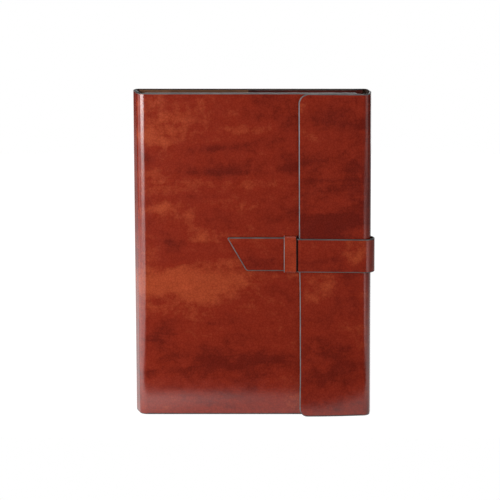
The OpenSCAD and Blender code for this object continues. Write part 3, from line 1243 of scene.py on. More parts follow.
@dataclass(frozen=True)
class Bend:
    """A sheet bent about an upright axis, in the frame of the panel before it, in millimetres."""

    y: Span
    z: Span
    radius: float
    angle: float
    rim_out: float
    rim_in: float
    steps: int = 28
    painted: float = 0.0
    # shaded_top paints the bend's top-facing rims near-black as shade.
    shaded_top: bool = False

    def build(self) -> Mesh:
        """Return the bend as a closed mesh whose faces have their zone as material index.

        Returns:
            The mesh in millimetres.
        """
        bm = bmesh.new()
        (y0, y1), (z0, z1) = self.y, self.z
        low_out, low_in, high_in, high_out = (
            bm.verts.new((0.0, y, z)) for y, z in ((y0, z0), (y1, z0), (y1, z1), (y0, z1)))
        bm.faces.new((low_out, low_in, high_in, high_out))
        round_corners(bm, [low_out, high_out], self.rim_out)
        round_corners(bm, [low_in, high_in], self.rim_in)
        border = self.rim_out + (self.painted or BORDER)
        for z in (z0 + border, z1 - border):
            cut_along(bm, (0.0, 0.0, z), (0.0, 0.0, 1.0))
        bmesh.ops.spin(bm, geom=bm.verts[:] + bm.edges[:] + bm.faces[:], cent=(0.0, self.radius, 0.0),
                       axis=(0.0, 0.0, 1.0), dvec=(0.0, 0.0, 0.0), angle=self.angle, steps=self.steps,
                       use_merge=False, use_duplicate=False)
        bmesh.ops.recalc_face_normals(bm, faces=bm.faces[:])
        for face in bm.faces:
            face.material_index = self._zone(face, border).value
        return bm

    def _zone(self, face: Face, border: float) -> Zone:
        """Return the zone of a face.

        Args:
            face: The face.
            border: Width of rim and border at the bend's two edges.

        Returns:
            The zone.
        """
        at, normal = face.calc_center_median(), face.normal
        out = at.xy - Vector((0.0, self.radius))
        edged = self.painted > 0 and min(at.z - self.z[0], self.z[1] - at.z) < border
        if abs(normal.z) > LEANING or edged:
            # Painted shade: the inner half of each rim, rims that face down and, on a shaded top, rims that
            # face up.
            inner_half = out.length < self.radius - sum(self.y) / 2
            shaded = inner_half or normal.z < UNDERSIDE or (self.shaded_top and normal.z > TOPSIDE)
            return Zone.SHADE if shaded else Zone.RIM
        return Zone.FACE if normal.xy.dot(out) > 0 else Zone.INSIDE


class Maker:
    """Turns worked meshes into pieces of the scene and hands them to the frame."""

    def __init__(self) -> None:
        """Start with no pieces."""
        self.count = 0

    def piece(self, bm: Mesh, name: str, place: Matrix, finishes: Sequence[Finish],
              nodes: Sequence[str] = (), body: Optional[Body] = None) -> bpy.types.Object:
        """Make an object at the origin with its place in its mesh.

        Args:
            bm: Mesh in millimetres, which is freed.
            name: Name of the piece.
            place: Matrix from the mesh's frame to the row frame.
            finishes: Finishes in the order of the zones.
            nodes: Nodes of the frame that the piece stands for.
            body: Body that the piece rides on, if any.

        Returns:
            The new object.
        """
        bmesh.ops.transform(bm, matrix=place, verts=bm.verts[:])
        bmesh.ops.recalc_face_normals(bm, faces=bm.faces[:])
        mesh = bpy.data.meshes.new(name)
        bm.to_mesh(mesh)
        bm.free()
        mesh.polygons.foreach_set("use_smooth", [True] * len(mesh.polygons))
        mesh.set_sharp_from_angle(angle=SHARP)
        for finish in finishes:
            mesh.materials.append(finish.material())
        made = bpy.data.objects.new(name, mesh)
        bpy.context.scene.collection.objects.link(made)
        if nodes:
            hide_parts(*nodes)
        if body:
            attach(made, body.value)
        self.count += 1
        LOG.info("%s: %d faces", name, len(mesh.polygons))
        return made

    def fold(self, bend: Bend, node: str, at: PanelFrame, finishes: Sequence[Finish]) -> None:
        """Make a bend's piece, which rides on no body.

        Args:
            bend: The bend.
            node: Node of the frame that it stands for.
            at: Frame that the bend is drawn in.
            finishes: Finishes in the order of the zones.
        """
        made = self.piece(bend.build(), node + "_leather", at.matrix(), finishes, (node,))
        half = bend.angle / 2
        start = Vector((0.0, bend.y[0]))
        held = (bend.y[1] - bend.y[0]) * math.sin(half)
        chord = 2 * (bend.radius - bend.y[0]) * math.sin(half)
        low, high = (start + heading(half) * length for length in (held, chord - held))
        at.point(low.x, low.y, 0.0)
        at.point(high.x, high.y, 0.0)
        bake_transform(made)

    @staticmethod
    def dress(node: str, finish: Finish, slot: Slot) -> None:
        """Give a node of the frame a finish.

        Args:
            node: Name of the node.
            finish: Its finish.
            slot: Not used.
        """
        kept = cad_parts[node]
        kept.data.materials.clear()
        kept.data.materials.append(finish.material())
        LOG.info("%s: dressed", node)


@dataclass(frozen=True)
class LeatherFold:
    """Soft fold of leather and lining between two panels."""

    node: str
    at: PanelFrame
    radius: float
    angle: float
    bodies: Tuple[Body, Body]
    leather: Finish
    plan: Plan = PLAN

    def build(self, maker: Maker) -> None:
        """Build and dress the fold.

        Args:
            maker: Maker of the pieces.
        """
        p = self.plan
        bend = Bend((0.0, p.leather_t), (0.0, p.cover_h), self.radius, self.angle, RIM, INNER_RIM,
                    shaded_top=True)
        # Painted shade: the fold's inside lining is near-black, and so are its rims on back folds and the
        # inner half of every rim.
        edge = DARK_EDGE_AND_SHADE if Body.BACK in self.bodies else GREY_EDGE
        finishes = (self.leather, edge, PAINTED_SHADE_LINING, DARK_EDGE_AND_SHADE)
        maker.fold(bend, self.node, self.at, finishes)


@dataclass(frozen=True)
class CoverPanel:
    """Stiffened panel: leather outside, and a lining that has a recess for the board."""

    name: str
    at: PanelFrame
    x: Span
    body: Body
    margin: float
    free: FrozenSet[Side] = HEAD_AND_FOOT
    corner_r: float = 0.0
    lining_rim: float = 0.7
    plan: Plan = PLAN

    def build(self, maker: Maker) -> None:
        """Build and dress the leather and the lining.

        Args:
            maker: Maker of the pieces.
        """
        p = self.plan
        stem, place, height = self.body.value, self.at.matrix(), (0.0, p.cover_h)
        # Painted shade: the spine's lining, the back cover's outer rims and the inner rims of back cover and
        # spine are near-black.
        nap = PAINTED_SHADE_LINING if self.body is Body.SPINE else LINING
        outer_edge = DARK_EDGE_AND_SHADE if self.body is Body.BACK else GREY_EDGE
        inner_edge = GREY_EDGE if self.body is Body.FRONT else DARK_EDGE_AND_SHADE
        skin = Sheet(self.x, (0.0, p.skin_t), height, self.free, self.corner_r, rim_out=RIM, shaded_foot=True,
                     shaded_top=self.body is Body.SPINE)
        maker.piece(skin.build(), self.name, place, (COVER_LEATHER, outer_edge, LINING, DARK_EDGE_AND_SHADE),
                    (stem + "_skin",), self.body)
        cuts = (self.x[0] + self.margin, self.x[1] - self.margin)
        lining = Sheet(self.x, (p.skin_t, p.cover_t), height, self.free, self.corner_r,
                       rim_in=self.lining_rim, cuts_x=cuts).build()
        self._recess(lining, cuts)
        maker.piece(lining, self.name + "_lining", place, (nap, inner_edge, nap),
                    (stem + "_lining",), self.body)

    def _recess(self, bm: Mesh, x: Span) -> None:
        """Sink a recess for the board into the lining's hidden face.

        Args:
            bm: Mesh of the lining.
            x: Ends of the recess along X.
        """
        p = self.plan
        low, high = p.board_margin, p.cover_h - p.board_margin
        for z in (low, high):
            hidden = [f for f in bm.faces if f.material_index == Zone.FACE.value]
            cut_along(bm, (0.0, 0.0, z), (0.0, 0.0, 1.0), hidden)
        floor = []
        for face in bm.faces:
            at = face.calc_center_median()
            if face.material_index == Zone.FACE.value and x[0] < at.x < x[1] and low < at.z < high:
                floor.append(face)
        pull(bm, floor, (0.0, p.board_t, 0.0))


@dataclass
class Covers:
    """Back cover, spine and front cover, and the folds between them."""

    plan: Plan = PLAN

    def build(self, maker: Maker) -> None:
        """Build and dress the panels, the folds and the boards.

        Args:
            maker: Maker of the pieces.
        """
        p = self.plan
        back_s, front_s = setback(p.spine_back_a, p.fold_r), setback(p.spine_front_a, p.spine_round)
        before_spine = p.spine_side(Vector((p.back_x[0], p.cover_d)), LEFT)
        spine = p.spine_side(p.back_spine + p.spine_dir * back_s, p.spine_dir)
        spine_end = p.spine_side(p.front_spine - p.spine_dir * front_s, p.spine_dir)
        parts = (
            CoverPanel("back_cover", p.back(), p.back_x, Body.BACK, p.board_margin),
            CoverPanel("spine_panel", spine, (0.0, p.spine_l), Body.SPINE, p.spine_margin),
            CoverPanel("front_cover", p.flat(), p.front_x, Body.FRONT, p.board_margin, ALL_BUT_NEAR,
                       p.front_corner_r),
            LeatherFold("spine_back_fold", before_spine, p.fold_r, p.spine_back_a, (Body.BACK, Body.SPINE),
                        COVER_LEATHER),
            LeatherFold("spine_front_fold", spine_end, p.spine_round, p.spine_front_a,
                        (Body.SPINE, Body.FRONT), COVER_LEATHER),
        )
        for part in parts:
            part.build(maker)
        for node in ("back_board", "spine_board", "front_board"):
            maker.dress(node, BOARD, Slot.BOARD)


@dataclass(frozen=True)
class SoftPanel:
    """Panel of leather and lining without a board, cut finely enough to bend."""

    stem: str
    at: PanelFrame
    length: float
    body: Body
    move: Deform
    pitch: float
    free: FrozenSet[Side] = HEAD_AND_FOOT
    corner_r: float = 0.0
    foot_corner_r: float = 0.0
    plan: Plan = PLAN

    def build(self, maker: Maker) -> None:
        """Build and dress the leather and the lining.

        Args:
            maker: Maker of the pieces.
        """
        p = self.plan
        # Painted shade: the fore-edge wall's lining and rims are near-black.
        nap, edge = (PAINTED_SHADE_LINING, DARK_EDGE_AND_SHADE) if self.body is Body.GUSSET else (LINING, GREY_EDGE)
        layers = (("_leather", "_skin", (0.0, p.skin_t), (RIM, 0.0), FLAP_LEATHER, Slot.COVER),
                  ("_lining", "_lining", (p.skin_t, p.leather_t), (0.0, INNER_RIM), LINING, Slot.SUEDE))
        for word, node, y, (rim_out, rim_in), face, slot in layers:
            bm = Sheet((0.0, self.length), y, (0.0, p.cover_h), self.free, self.corner_r,
                       foot_corner_r=self.foot_corner_r, rim_out=rim_out, rim_in=rim_in,
                       pitch=self.pitch, shaded_foot=True).build()
            deform(bm, self.move)
            maker.piece(bm, self.stem + word, self.at.matrix(), (face, edge, nap, DARK_EDGE_AND_SHADE),
                        (self.stem + node,), self.body)


@dataclass
class ForeEdge:
    """Fore-edge wall and the flap that comes round it and springs away from the cover at its corners."""

    plan: Plan = PLAN
    spring_mid: float = 0.5
    spring_foot: float = 6.4
    spring_power: float = 1.8
    foot_power: float = 2.3
    draw_in: float = 0.6
    lean: float = 0.4
    sway: float = 0.55
    sway_rise: Span = (10.0, 50.0)
    sway_fall: Span = (125.0, 175.0)
    bulge: float = 1.4
    pitch: float = 6.0
    bulge_pitch: float = 2.0

    def spring(self, share: float, z: float) -> float:
        """Return how far the flap stands off its flat place.

        Args:
            share: Place across the flap, 0 at its fold and 1 at its free edge.
            z: Height in millimetres.

        Returns:
            The distance outwards in millimetres.
        """
        share = min(1.0, max(0.0, share))
        from_middle = 1.0 - 2.0 * z / self.plan.cover_h
        low = max(0.0, from_middle) ** self.foot_power
        bow = 1.0 - (1.0 - share) ** self.spring_power
        near_strap = 1.0 - abs(from_middle)
        return self.spring_mid * share ** self.spring_power * near_strap + self.spring_foot * bow * low

    def build(self, maker: Maker) -> None:
        """Build and dress the fore-edge wall, the flap and their folds.

        Args:
            maker: Maker of the pieces.
        """
        p = self.plan
        back_s, front_s = setback(p.edge_back_a, p.fold_r), setback(p.edge_front_a, p.edge_round)
        before_wall = p.edge_side(p.back_edge - RIGHT * back_s, RIGHT)
        wall = p.edge_side(p.back_edge + p.gusset_dir * back_s, p.gusset_dir)
        wall_end = p.edge_side(p.front_edge - p.gusset_dir * front_s, p.gusset_dir)
        flap = p.edge_side(p.front_edge + p.flap_dir * front_s, p.flap_dir)
        parts = (
            SoftPanel("gusset", wall, p.gusset_l, Body.GUSSET, self._bulged, self.bulge_pitch),
            SoftPanel("flap", flap, p.flap_l, Body.FLAP, self._sprung, self.pitch, ALL_BUT_NEAR,
                      p.flap_corner_r, p.flap_foot_r),
            LeatherFold("edge_back_fold", before_wall, p.fold_r, p.edge_back_a, (Body.BACK, Body.GUSSET),
                        FLAP_LEATHER),
            LeatherFold("edge_front_fold", wall_end, p.edge_round, p.edge_front_a, (Body.GUSSET, Body.FLAP),
                        FLAP_LEATHER),
        )
        for part in parts:
            part.build(maker)

    def _sprung(self, co: Vector) -> Vector:
        """Return a point of the flap moved outwards by its spring, which draws its free edge in a little.

        Args:
            co: Point of the flat flap.

        Returns:
            The moved point.
        """
        p = self.plan
        share = co.x / p.flap_l
        drawn_in = self.draw_in * self.spring(1.0, co.z) ** 2 / p.flap_l
        lean = self.lean * (2.0 * co.z / p.cover_h - 1.0)
        sway = self.sway * smooth(co.z, *self.sway_rise) * (1.0 - smooth(co.z, *self.sway_fall))
        return Vector((co.x + (lean - drawn_in - sway) * share, co.y - self.spring(share, co.z), co.z))

    def _bulged(self, co: Vector) -> Vector:
        """Return a point of the fore-edge wall moved outwards by its bulge."""
        out = self.bulge * math.sin(math.pi * co.x / self.plan.gusset_l) ** 2
        return Vector((co.x, co.y - out, co.z))


@dataclass
class Strap:
    """Closing strap: sewn on the back cover, led round the fore-edge and over the flap to the tongue."""

    plan: Plan = PLAN
    fore_edge: ForeEdge = field(default_factory=ForeEdge)
    drop: float = 1.15
    drop_past: float = 2.0
    back_sag: float = 1.9
    hug: float = 0.45
    back_r: float = 6.4
    stand_off: float = 1.0
    painted: float = 0.25
    rim: float = 0.8
    tip_r: float = 2.3
    sewn_r: float = 3.0
    run_pitch: float = 6.0
    side_steps: int = 8
    bend_steps: int = 20
    route_steps: int = 10
    crease_past: float = 1.0
    crease_over: float = 2.5
    shade_from: float = 0.6

    def build(self, maker: Maker) -> None:
        """Build and dress the strap from its sewn end to its tip.

        Args:
            maker: Maker of the pieces.
        """
        p = self.plan
        thick = (-p.strap_t, 0.0)
        level, back_level = self.level(self.drop), self.level(self.drop + self.back_sag)
        # Painted shade: the inner half of each bend's rims and rims that face down are near-black.
        finishes = (STRAP_LEATHER, STRAP_EDGE, STRAP_LEATHER, DARK_EDGE_AND_SHADE)
        corner, along = self._side()
        back_a, half = RIGHT.angle(along), along.angle(p.flap_dir) / 2
        back_s = setback(back_a, self.back_r)
        tangent = p.bend_centre + left_of(along) * p.strap_r
        sewn = Sheet((0.0, p.anchor_l), thick, back_level, ALL_BUT_FAR, near_corner_r=self.sewn_r,
                     rim_out=self.rim, painted=self.painted).build()
        maker.piece(sewn, "strap_sewn_end", self.sewn_frame().matrix(), finishes,
                    ("strap_anchor",), Body.BACK)
        side = p.edge_side(corner + along * back_s, along)
        side_l = (tangent - corner).length - back_s
        cuts = tuple(side_l * i / self.side_steps for i in range(1, self.side_steps))
        run = Sheet((0.0, side_l), thick, level, HEAD_AND_FOOT, rim_out=self.rim, rim_in=self.rim,
                    cuts_x=cuts, painted=self.painted).build()

        def hung(co: Vector) -> Vector:
            """Return a point of the side run, which hangs lower towards the back."""
            return co - Vector((0.0, 0.0, self.back_sag * (1.0 - smooth(co.x, 0.0, side_l))))

        deform(run, hung)
        maker.piece(run, "strap_side_run", side.matrix(), finishes, ("strap_side",), Body.GUSSET)
        middle = heading(math.atan2(along.y, along.x) - half)
        bends = (
            ("strap_back_bend", p.edge_side(corner - RIGHT * back_s, RIGHT), back_level, self.back_r, back_a,
             (Body.BACK, Body.GUSSET)),
            ("strap_corner_bend", p.edge_side(tangent, along), level, p.strap_r, half,
             (Body.GUSSET, Body.FLAP)),
            ("strap_front_bend", p.edge_side(p.bend_centre + left_of(middle) * p.strap_r, middle), level,
             p.strap_r, half, (Body.FLAP, Body.STRAP)),
        )
        for node, at, z, radius, angle, bodies in bends:
            bend = Bend(thick, z, radius, angle, self.rim, self.rim, self.bend_steps, self.painted)
            maker.fold(bend, node, at, finishes)
        self._tongue(maker)

    def level(self, down: float = 0.0) -> Span:
        """Return the heights of the strap's two edges, a little down from the keeper's middle."""
        p = self.plan
        return p.strap_z - p.strap_w / 2 - down, p.strap_z + p.strap_w / 2 - down

    def sewn_frame(self) -> PanelFrame:
        """Return the frame of the strap's sewn end on the back cover.

        Returns:
            The frame, which starts at the strap's end.
        """
        corner, along = self._side()
        start = corner - RIGHT * (setback(RIGHT.angle(along), self.back_r) + self.plan.anchor_l)
        return self.plan.edge_side(start, RIGHT)

    def _side(self) -> Tuple[Vector, Vector]:
        """Return the strap's corner at the back of the fore-edge and its direction to the front bend.

        Returns:
            The corner and the direction, in plan.
        """
        p = self.plan
        corner = p.back_edge + RIGHT * self.hug
        reach = p.bend_centre - corner
        turn = math.asin(p.strap_r / reach.length)
        return corner, heading(math.atan2(reach.y, reach.x) + turn)

    def _route(self) -> List[Tuple[Vector, float]]:
        """Return stations of the strap's inside face from its front bend to the tip: points and headings.

        Returns:
            Pairs of point and heading, in plan.
        """
        p = self.plan
        steps = self.route_steps
        out_r = p.step_r + p.strap_t
        over = math.atan2(p.flap_dir.y, p.flap_dir.x)
        slant = p.flap_dir.angle(LEFT)
        start = p.flap_tip + left_of(p.flap_dir) * p.strap_rest
        drop = -p.strap_rest - start.y
        rise = math.acos((p.step_r * math.cos(slant) + out_r - drop) / (p.step_r + out_r))
        down = over - (rise - slant)
        in_centre = start - left_of(heading(over)) * p.step_r
        out_centre = in_centre + left_of(heading(down)) * (p.step_r + out_r)
        stations = [(p.strap_start, over)]
        for i in range(steps + 1):
            h = over - (over - down) * i / steps
            stations.append((in_centre + left_of(heading(h)) * p.step_r, h))
        for i in range(1, steps + 1):
            h = down + rise * i / steps
            stations.append((out_centre - left_of(heading(h)) * out_r, h))
        stations.append((Vector((p.flap_tip.x - p.tongue_l, -p.strap_rest)), math.pi))
        return stations

    def _tongue(self, maker: Maker) -> None:
        """Build the two layers of the strap over the flap, down the step and along the tongue.

        Args:
            maker: Maker of the pieces.
        """
        p = self.plan
        stations = self._route()
        lengths = [0.0]
        for (a, _), (b, _) in zip(stations, stations[1:]):
            lengths.append(lengths[-1] + (b - a).length)
        total = lengths[-1]
        even = [self.run_pitch * i for i in range(1, int((total - 2 * p.tip_cut) / self.run_pitch) + 1)]
        cuts = (*lengths[1:-1], *(x for x in even if not lengths[1] < x < lengths[-2]))

        def laid(co: Vector) -> Vector:
            """Return a point of the flat strap laid along the route.

            Args:
                co: Point of the flat strap.

            Returns:
                The point on the route.
            """
            i = max(0, min(len(lengths) - 2, sum(1 for length in lengths if length <= co.x) - 1))
            t = (co.x - lengths[i]) / (lengths[i + 1] - lengths[i])
            (a, ha), (b, hb) = stations[i], stations[i + 1]
            at = a.lerp(b, t) + left_of(heading(ha + (hb - ha) * t)) * -co.y
            return Vector((at.x, at.y - self._lift(at.x), co.z - self._sag(at.x)))

        # Painted shade: the backing's rim is near-black, as the dark line along the tongue's edge.
        layers = (
            ("strap_tongue", "strap_face", (-p.strap_t, -p.strap_backing_t), (self.rim, 0.0), STRAP_EDGE),
            ("strap_tongue_backing", "strap_backing", (-p.strap_backing_t, 0.0), (0.0, INNER_RIM),
             DARK_EDGE_AND_SHADE),
        )
        for name, node, y, (rim_out, rim_in), edge in layers:
            bm = Sheet((0.0, total), y, self.level(), ALL_BUT_NEAR, self.tip_r, rim_out=rim_out,
                       rim_in=rim_in, cuts_x=cuts, slant=p.tip_cut, painted=self.painted).build()
            deform(bm, laid)
            self._crease(bm)
            finishes = (STRAP_LEATHER, edge, STRAP_LEATHER, DARK_EDGE_AND_SHADE, CREASED_LEATHER, DEEP_CREASE)
            maker.piece(bm, name, p.flat().matrix(), finishes, (node,), Body.STRAP)

    def _crease(self, bm: Mesh) -> None:
        """Mark the faces where the strap is creased down the flap's free edge, and, nearer the keeper, those
        painted near-black as shade where the strap dips into its shadow.

        Args:
            bm: Mesh of the laid strap.
        """
        edge_x = self.plan.flap_tip.x
        low = -self.plan.keeper_off - self.crease_past
        for face in bm.faces:
            at = face.calc_center_median().x - edge_x
            if face.material_index == Zone.FACE.value and low < at < self.crease_over:
                # Faces in the keeper's shadow take the painted shade; the rest of the crease only turns
                # duller.
                face.material_index = (Zone.DEEP_CREASE if at < -self.shade_from else Zone.CREASE).value

    def _lift(self, x: float) -> float:
        """Return how far the sprung flap pushes the strap out at a place along the front.

        Args:
            x: Place along the front, in millimetres.

        Returns:
            The distance outwards in millimetres.
        """
        p = self.plan
        start = p.front_edge.x - setback(p.edge_front_a, p.edge_round)
        if x > p.flap_tip.x:
            return self.fore_edge.spring((start - x) / p.flap_l, p.strap_z)
        held = self.fore_edge.spring(1.0, p.strap_z)
        return self.stand_off + (held - self.stand_off) * smooth(x, p.keeper_x[0], p.flap_tip.x)

    def _sag(self, x: float) -> float:
        """Return how far the strap hangs below the keeper's middle at a place along the front."""
        return self.drop * smooth(x, self.plan.keeper_x[0], self.plan.flap_tip.x + self.drop_past)


@dataclass
class Keeper:
    """Leather loop on the front cover, let through slits, that holds the tongue."""

    plan: Plan = PLAN
    rim: float = 0.75
    turn_steps: int = 6
    edge_turn: float = 0.15

    def build(self, maker: Maker) -> None:
        """Build and dress the keeper.

        Args:
            maker: Maker of the pieces.
        """
        p = self.plan
        x0, x1 = p.keeper_x
        half = p.strap_w / 2 + p.keeper_side + p.keeper_t
        low, high = p.strap_z - half, p.strap_z + half
        top = p.strap_rest + p.strap_t + p.keeper_lift + p.keeper_t
        leg = p.skin_t + top - p.keeper_r
        bm = bmesh.new()
        corners = ((x0, low), (x1, low), (x1, low + p.keeper_t), (x0, low + p.keeper_t))
        outline = [bm.verts.new((x, p.skin_t, z)) for x, z in corners]
        bm.faces.new(outline)
        round_corners(bm, outline[:2], self.rim)
        for x in (x0 + self.rim + BORDER, x1 - self.rim - BORDER):
            cut_along(bm, (x, 0.0, 0.0), (1.0, 0.0, 0.0))
        end = pull(bm, bm.faces[:], (0.0, -leg, 0.0))
        end = self._turn(bm, end, p.keeper_r - top, low + p.keeper_r)
        end = pull(bm, end, (0.0, 0.0, 2 * (half - p.keeper_r)))
        end = self._turn(bm, end, p.keeper_r - top, high - p.keeper_r)
        pull(bm, end, (0.0, leg, 0.0))
        bmesh.ops.recalc_face_normals(bm, faces=bm.faces[:])
        # Painted shade: the rim on the keeper's right side, away from the key light, takes the near-black
        # finish; the left rim is grey paint.
        for face in bm.faces:
            zone = Zone.FACE
            if abs(face.normal.x) > self.edge_turn:
                zone = Zone.RIM if face.normal.x < 0 else Zone.INSIDE
            face.material_index = zone.value
        maker.piece(bm, "keeper_loop", p.flat().matrix(), (KEEPER_LEATHER, GREY_EDGE, DARK_EDGE_AND_SHADE),
                    ("keeper",), Body.FRONT)

    def _turn(self, bm: Mesh, end: List[Face], y: float, z: float) -> List[Face]:
        """Carry the loop's end round a corner about an axis along X and return the new end.

        Args:
            bm: Mesh to work on.
            end: Faces at the loop's end.
            y: Y of the axis.
            z: Z of the axis.

        Returns:
            The faces at the new end.
        """
        spun = bmesh.ops.spin(bm, geom=with_bounds(end), cent=(0.0, y, z), axis=(1.0, 0.0, 0.0),
                              dvec=(0.0, 0.0, 0.0), angle=-math.pi / 2, steps=self.turn_steps,
                              use_merge=False, use_duplicate=False)
        return [g for g in spun["geom_last"] if isinstance(g, Face)]


@dataclass
class Stitcher:
    """Sews rows of stitches, half sunk in the leather, into one mesh in millimetres."""

    pitch: float = 4.0
    length: float = 3.0
    width: float = 0.7
    height: float = 0.55
    bm: Mesh = field(default_factory=bmesh.new)

    def row(self, start: Span, end: Span, level: float) -> None:
        """Sew a row between two points of a face.

        Args:
            start: First point, as X and Z.
            end: Last point, as X and Z.
            level: Y of the leather's face.
        """
        a, b = (Vector((x, level, z)) for x, z in (start, end))
        run = b - a
        count = max(1, round(run.length / self.pitch))
        shape = Matrix.Diagonal((self.length / 2, self.height / 2, self.width / 2, 1.0))
        shape = Matrix.Rotation(-math.atan2(run.z, run.x), 4, "Y") @ shape
        for i in range(count):
            middle = a.lerp(b, (i + 0.5) / count)
            bmesh.ops.create_uvsphere(self.bm, u_segments=8, v_segments=5, radius=1.0,
                                      matrix=Matrix.Translation(middle) @ shape)


@dataclass(frozen=True)
class Pocket:
    """Sewn pocket that is pressed down along its seams and stands off the lining between them."""

    node: str
    at: PanelFrame
    body: Body
    thick: float
    gap: float
    sewn: FrozenSet[Side] = ALL_BUT_HEAD
    seam: float = 3.0
    ease: float = 9.0
    pitch: float = 7.0
    rim: float = 0.4
    back_rim: float = 0.2
    glue: float = 0.05

    def build(self, maker: Maker) -> None:
        """Build, sew and dress the pocket.

        Args:
            maker: Maker of the pieces.
        """
        place = self.at.matrix()
        a, b = (place.inverted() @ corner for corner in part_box(self.node))
        x, z = tuple(sorted((a.x, b.x))), tuple(sorted((a.z, b.z)))
        top = max(a.y, b.y)
        press = self.gap - self.glue

        def pressed(co: Vector) -> Vector:
            """Return a point of the flat pocket pressed down near its seams.

            Args:
                co: Point of the flat pocket.

            Returns:
                The pressed point.
            """
            inside = {Side.NEAR: co.x - x[0], Side.FAR: x[1] - co.x, Side.FOOT: co.z - z[0]}
            room = min(smooth(inside[side], self.seam, self.seam + self.ease) for side in self.sewn)
            return Vector((co.x, co.y - press * (1.0 - room), co.z))

        bm = Sheet(x, (top - self.thick, top), z, rim_in=self.rim, rim_out=self.back_rim, pitch=self.pitch,
                   cuts_x=(x[0] + self.seam, x[1] - self.seam)).build()
        deform(bm, pressed)
        maker.piece(bm, self.node + "_leather", place, (POCKET_LEATHER, DARK_EDGE_AND_SHADE, POCKET_LEATHER),
                    (self.node,), self.body)
        line = self.seam / 2
        near, far, foot, head = x[0] + line, x[1] - line, z[0] + line, z[1] - line
        rows = {Side.NEAR: ((near, foot), (near, head)), Side.FAR: ((far, foot), (far, head)),
                Side.FOOT: ((near, foot), (far, foot))}
        thread = Stitcher()
        for side, (start, end) in rows.items():
            if side in self.sewn:
                thread.row(start, end, top - press)
        maker.piece(thread.bm, self.node + "_stitches", place, (THREAD,), body=self.body)


@dataclass
class Pockets:
    """Pockets on the two linings: documents and cards in front, the pad's board behind."""

    plan: Plan = PLAN

    def build(self, maker: Maker) -> None:
        """Build every pocket.

        Args:
            maker: Maker of the pieces.
        """
        front, back = self.plan.flat(), self.plan.back()
        pockets = (
            Pocket("document_pocket", front, Body.FRONT, thick=1.0, gap=1.2),
            Pocket("card_slot_lower", front, Body.FRONT, thick=0.8, gap=1.0),
            Pocket("card_slot_upper", front, Body.FRONT, thick=0.8, gap=1.0),
            Pocket("pad_pocket", back, Body.BACK, thick=1.0, gap=1.8, sewn=FAR_AND_FOOT),
        )
        for pocket in pockets:
            pocket.build(maker)


@dataclass
class StrapSeam:
    """Stitched box that holds the strap's end on the back cover."""

    plan: Plan = PLAN
    strap: Strap = field(default_factory=Strap)
    inset: float = 4.0
    pitch: float = 3.6
    length: float = 2.8

    def build(self, maker: Maker) -> None:
        """Sew and dress the seam.

        Args:
            maker: Maker of the pieces.
        """
        low, high = self.strap.level(self.strap.drop + self.strap.back_sag)
        low, high = low + self.inset, high - self.inset
        near, far = self.inset, self.plan.anchor_l - self.inset
        thread = Stitcher(self.pitch, self.length)
        rows = (((near, low), (far, low)), ((near, high), (far, high)),
                ((near, low), (near, high)), ((far, low), (far, high)))
        for start, end in rows:
            thread.row(start, end, -self.plan.strap_t)
        maker.piece(thread.bm, "strap_seam_stitches", self.strap.sewn_frame().matrix(), (THREAD,),
                    body=Body.BACK)


@dataclass
class WritingPad:
    """Side-bound writing pad: leaves, backing board and binding tape."""

    leaves: int = 22
    gap: float = 0.03
    spread: float = 0.35
    rule_pitch: float = 8.0
    foot_margin: float = 16.0
    head_margin: float = 24.0
    side_margin: float = 36.0

    def build(self, maker: Maker) -> None:
        """Build the block of leaves, whose edges lie a little unevenly, and dress the board and the tape.

        Args:
            maker: Maker of the pieces.
        """
        low, high = (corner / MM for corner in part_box("pad_sheets"))
        size = high - low
        step = size.y / self.leaves
        bm = bmesh.new()
        for i in range(self.leaves):
            out = self.spread * (0.5 + 0.5 * math.sin(2.3 * i + 0.7 * math.sin(5.1 * i)))
            up = self.spread * (0.5 + 0.5 * math.cos(1.7 * i + 0.9 * math.sin(3.3 * i)))
            leaf = Vector((size.x - out, step - self.gap, size.z - up))
            middle = Vector((low.x + leaf.x / 2, low.y + step * (i + 0.5), low.z + up / 2 + leaf.z / 2))
            shape = Matrix.Translation(middle) @ Matrix.Diagonal((*leaf, 1.0))
            bmesh.ops.create_cube(bm, size=1.0, matrix=shape)
        paper = RuledPaper("ruled_writing_paper", paper=(0.86, 0.85, 0.80), rule=(0.45, 0.56, 0.68),
                           margin=(0.66, 0.33, 0.32), pitch=self.rule_pitch * MM,
                           foot_z=(low.z + self.foot_margin) * MM, head_z=(high.z - self.head_margin) * MM,
                           margin_x=(low.x + self.side_margin) * MM)
        maker.piece(bm, "pad_leaves", Matrix.Scale(MM, 4), (paper,), ("pad_sheets",), Body.PAD)
        maker.dress("pad_backing", BOARD, Slot.BOARD)
        maker.dress("pad_binding", TAPE, Slot.TAPE)


@dataclass(frozen=True)
class Lamp:
    """A soft rectangular lamp in metres, turned to a point; a face with a radiance of 1 is white."""

    name: str
    at: Triple
    to: Triple
    size: Span
    radiance: float

    def hang(self) -> None:
        """Hang the lamp."""
        light = bpy.data.lights.new(self.name, "AREA")
        light.shape = "RECTANGLE"
        light.size, light.size_y = self.size
        light.energy = self.radiance * math.pi * self.size[0] * self.size[1]
        lamp = bpy.data.objects.new(self.name, light)
        lamp.location = self.at
        lamp.rotation_euler = (Vector(self.to) - Vector(self.at)).to_track_quat("-Z", "Y").to_euler()
        bpy.context.scene.collection.objects.link(lamp)


